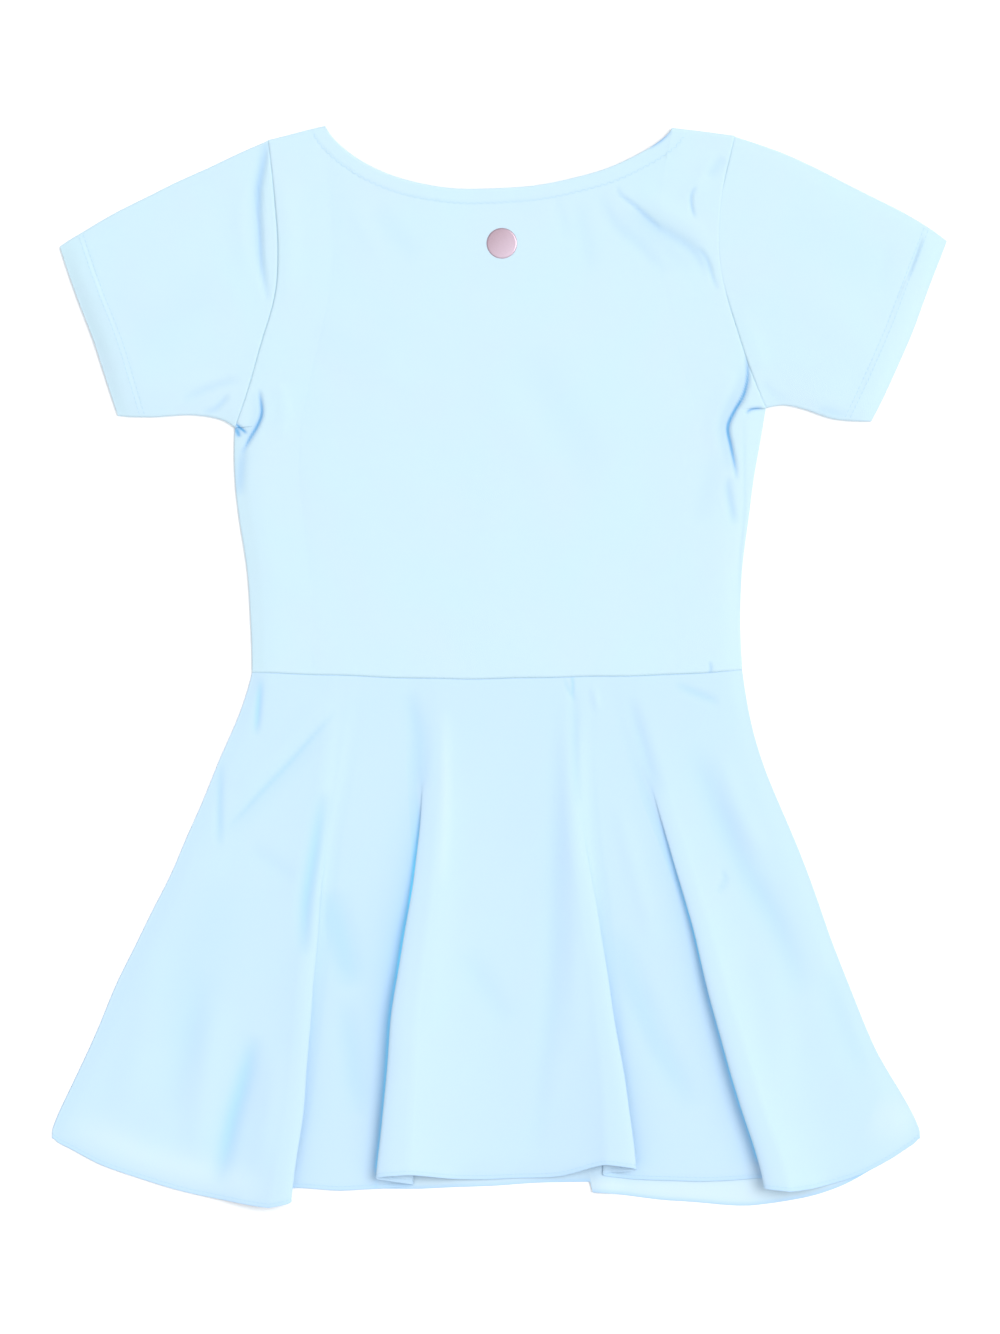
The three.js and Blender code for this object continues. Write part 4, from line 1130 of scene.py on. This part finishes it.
def line_on_cloth(layer, reached, wanted, wall):
    """Line on a layer's upper face at a distance from an edge, one point for each column. reached
    is that distance at each point of the layer, and rises from its first row to its last."""
    line = drift(np.array([
        [np.interp(wanted, reached[:, column], layer[:, column, axis]) for axis in range(3)]
        for column in range(layer.shape[1])
    ]))
    line[:, 2] += wall / 2 + STITCH_LIFT
    return line


def sew(name, line, kind):
    """One row of stitches along a line."""
    mesh = bpy.data.meshes.new(name)
    edges = [(i, i + 1) for i in range(len(line) - 1)]
    mesh.from_pydata((line * MM).tolist(), edges, [])
    guide = add_object(name + "_guide", mesh)
    modifier = guide.modifiers.new("stitches", "NODES")
    modifier.node_group = stitch_tree
    modifier[sockets["Length"]] = SEWING[kind]["length"] * MM
    modifier[sockets["Space"]] = SEWING[kind]["space"] * MM
    modifier[sockets["Slant"]] = math.radians(SEWING[kind]["slant"])
    modifier[sockets["Thread"]] = THREAD * MM
    modifier[sockets["Material"]] = thread
    evaluated = guide.evaluated_get(bpy.context.evaluated_depsgraph_get())
    stitches = add_object(name, bpy.data.meshes.new_from_object(evaluated))
    bpy.data.objects.remove(guide)
    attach(stitches, "root")


neck_columns = np.flatnonzero(from_neck[0] < NECK_HEM - 0.3)
neck_line = line_on_cloth(front_middle[:, neck_columns], from_neck[:, neck_columns], NECK_HEM, JERSEY)
sew("neck_zigzag", neck_line, "neck")
for side, (upper, from_cuff) in zip(("left", "right"), cuff_layers):
    for row_name, inset in (("outer", 1.0), ("inner", -1.6)):
        layer = np.swapaxes(upper, 0, 1)[::-1]
        line = line_on_cloth(layer, from_cuff.T[::-1], CUFF_HEM + inset, JERSEY)
        sew(f"cuff_{side}_{row_name}_stitches", line[2:-2], "cuff")
hem_line = line_on_cloth(skirt_middle[::-1], from_hem[::-1], SKIRT_HEM, SKIRT)
sew("skirt_hem_stitches", hem_line[3:-3], "hem")


# Round dot of thin metallic foil, pressed on with heat below the neck. It is plain, with a painted
# highlight that leaves it lighter at its lower right and darker at its upper left, and finely
# crinkled by the knit under it.

DOT = {"x": 1.3, "y": 223.7, "radius": 8.1, "thick": 0.12}
foil = bpy.data.materials.new("rose foil")
foil.use_nodes = True
tree = foil.node_tree
shader = tree.nodes["Principled BSDF"]
place = tree.nodes.new("ShaderNodeTexCoord")
split = tree.nodes.new("ShaderNodeSeparateXYZ")
tree.links.new(place.outputs["Object"], split.inputs[0])
# Painted highlight: the colour runs from dark at the dot's upper left to light at its lower right
from_middle_x = math_node(tree, "SUBTRACT", split.outputs["X"], DOT["x"] * MM)
from_middle_y = math_node(tree, "SUBTRACT", split.outputs["Y"], DOT["y"] * MM)
highlight_slope = math_node(tree, "SUBTRACT", from_middle_x, from_middle_y)
share = math_node(tree, "MULTIPLY_ADD", highlight_slope, 0.5 / (1.4 * DOT["radius"] * MM), 0.5)
crinkle = noise_node(tree, place.outputs["Object"], 1400, 3)
crinkle_and_painted_highlight = math_node(tree, "MULTIPLY_ADD", crinkle, 0.3, math_node(tree, "SUBTRACT", share, 0.15))
rose = mix_node(tree, crinkle_and_painted_highlight, (0.40, 0.285, 0.335), (0.61, 0.48, 0.57))
tree.links.new(rose, shader.inputs["Base Color"])
add_relief(tree, crinkle, 0.3, 0.00006)
shader.inputs["Metallic"].default_value = 0.7
shader.inputs["Roughness"].default_value = 0.36

surface = BVHTree.FromObject(bodice_front, bpy.context.evaluated_depsgraph_get())
ring_sizes = [0.15, 0.35, 0.55, 0.75, 0.9, 1.0]
angles = np.linspace(0, 2 * math.pi, 65)[:-1]
vertices = []
for lift, sizes in ((DOT["thick"], [0.0] + ring_sizes), (-0.05, [1.0] + ring_sizes[-2::-1] + [0.0])):
    for size in sizes:
        for turn in (angles if size > 0 else [0.0]):
            x = (DOT["x"] + DOT["radius"] * size * math.cos(turn)) * MM
            y = (DOT["y"] + DOT["radius"] * size * math.sin(turn)) * MM
            z = surface.ray_cast(Vector((x, y, 0.1)), Vector((0, 0, -1)))[0].z
            vertices.append((x, y, z + lift * MM))
count = len(angles)
starts = [1 + count * i for i in range(2 * len(ring_sizes))]
faces = [(0, 1 + i, 1 + (i + 1) % count) for i in range(count)]
for start, after in zip(starts[:-1], starts[1:]):
    for i in range(count):
        turn = (i + 1) % count
        faces.append((start + i, after + i, after + turn, start + turn))
last = len(vertices) - 1
faces += [(last, starts[-1] + (i + 1) % count, starts[-1] + i) for i in range(count)]
mesh = bpy.data.meshes.new("foil_dot")
mesh.from_pydata(vertices, [], faces)
mesh.polygons.foreach_set("use_smooth", np.ones(len(faces), bool))
mesh.materials.append(foil)
foil_dot = add_object("foil_dot", mesh)
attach(foil_dot, "root")


# Floor, light and camera. The dress lies on a plain white floor in soft light that comes a little
# from the upper right, and the camera looks straight down on it through a long lens.

bpy.ops.mesh.primitive_plane_add(size=12, location=(0, 0, -0.0002))
floor = bpy.context.object
floor.name = "floor"
paper = bpy.data.materials.new("white floor")
paper.use_nodes = True
shader = paper.node_tree.nodes["Principled BSDF"]
shader.inputs["Base Color"].default_value = (0.95, 0.95, 0.95, 1)
shader.inputs["Roughness"].default_value = 0.9
floor.data.materials.append(paper)

world = bpy.data.worlds.new("soft room")
world.use_nodes = True
sky = world.node_tree.nodes["Background"]
sky.inputs["Color"].default_value = (0.94, 0.965, 1, 1)
sky.inputs["Strength"].default_value = 0.93
bpy.context.scene.world = world

WINDOW_AT = Vector((0.6, 0.25, 1.0))
window = bpy.data.lights.new("window", "SUN")
window.energy = 1.67
window.angle = math.radians(38)
window.color = (1.0, 0.975, 0.94)
add_object("window", window).rotation_euler = WINDOW_AT.to_track_quat("Z", "Y").to_euler()

PHOTO = {"height": 1334, "mm_per_pixel": 0.53, "middle_x": 0.3, "middle_y": -0.5}
CAMERA_HEIGHT = 2.6
camera_data = bpy.data.cameras.new("camera")
camera = add_object("camera", camera_data)
camera.location = (PHOTO["middle_x"] * MM, PHOTO["middle_y"] * MM, CAMERA_HEIGHT)
camera_data.sensor_width = 36
camera_data.lens = 36 * CAMERA_HEIGHT / (PHOTO["height"] * PHOTO["mm_per_pixel"] * MM)
bpy.context.scene.camera = camera
bpy.context.scene.view_settings.view_transform = "Standard"
bpy.context.scene.view_settings.look = "None"
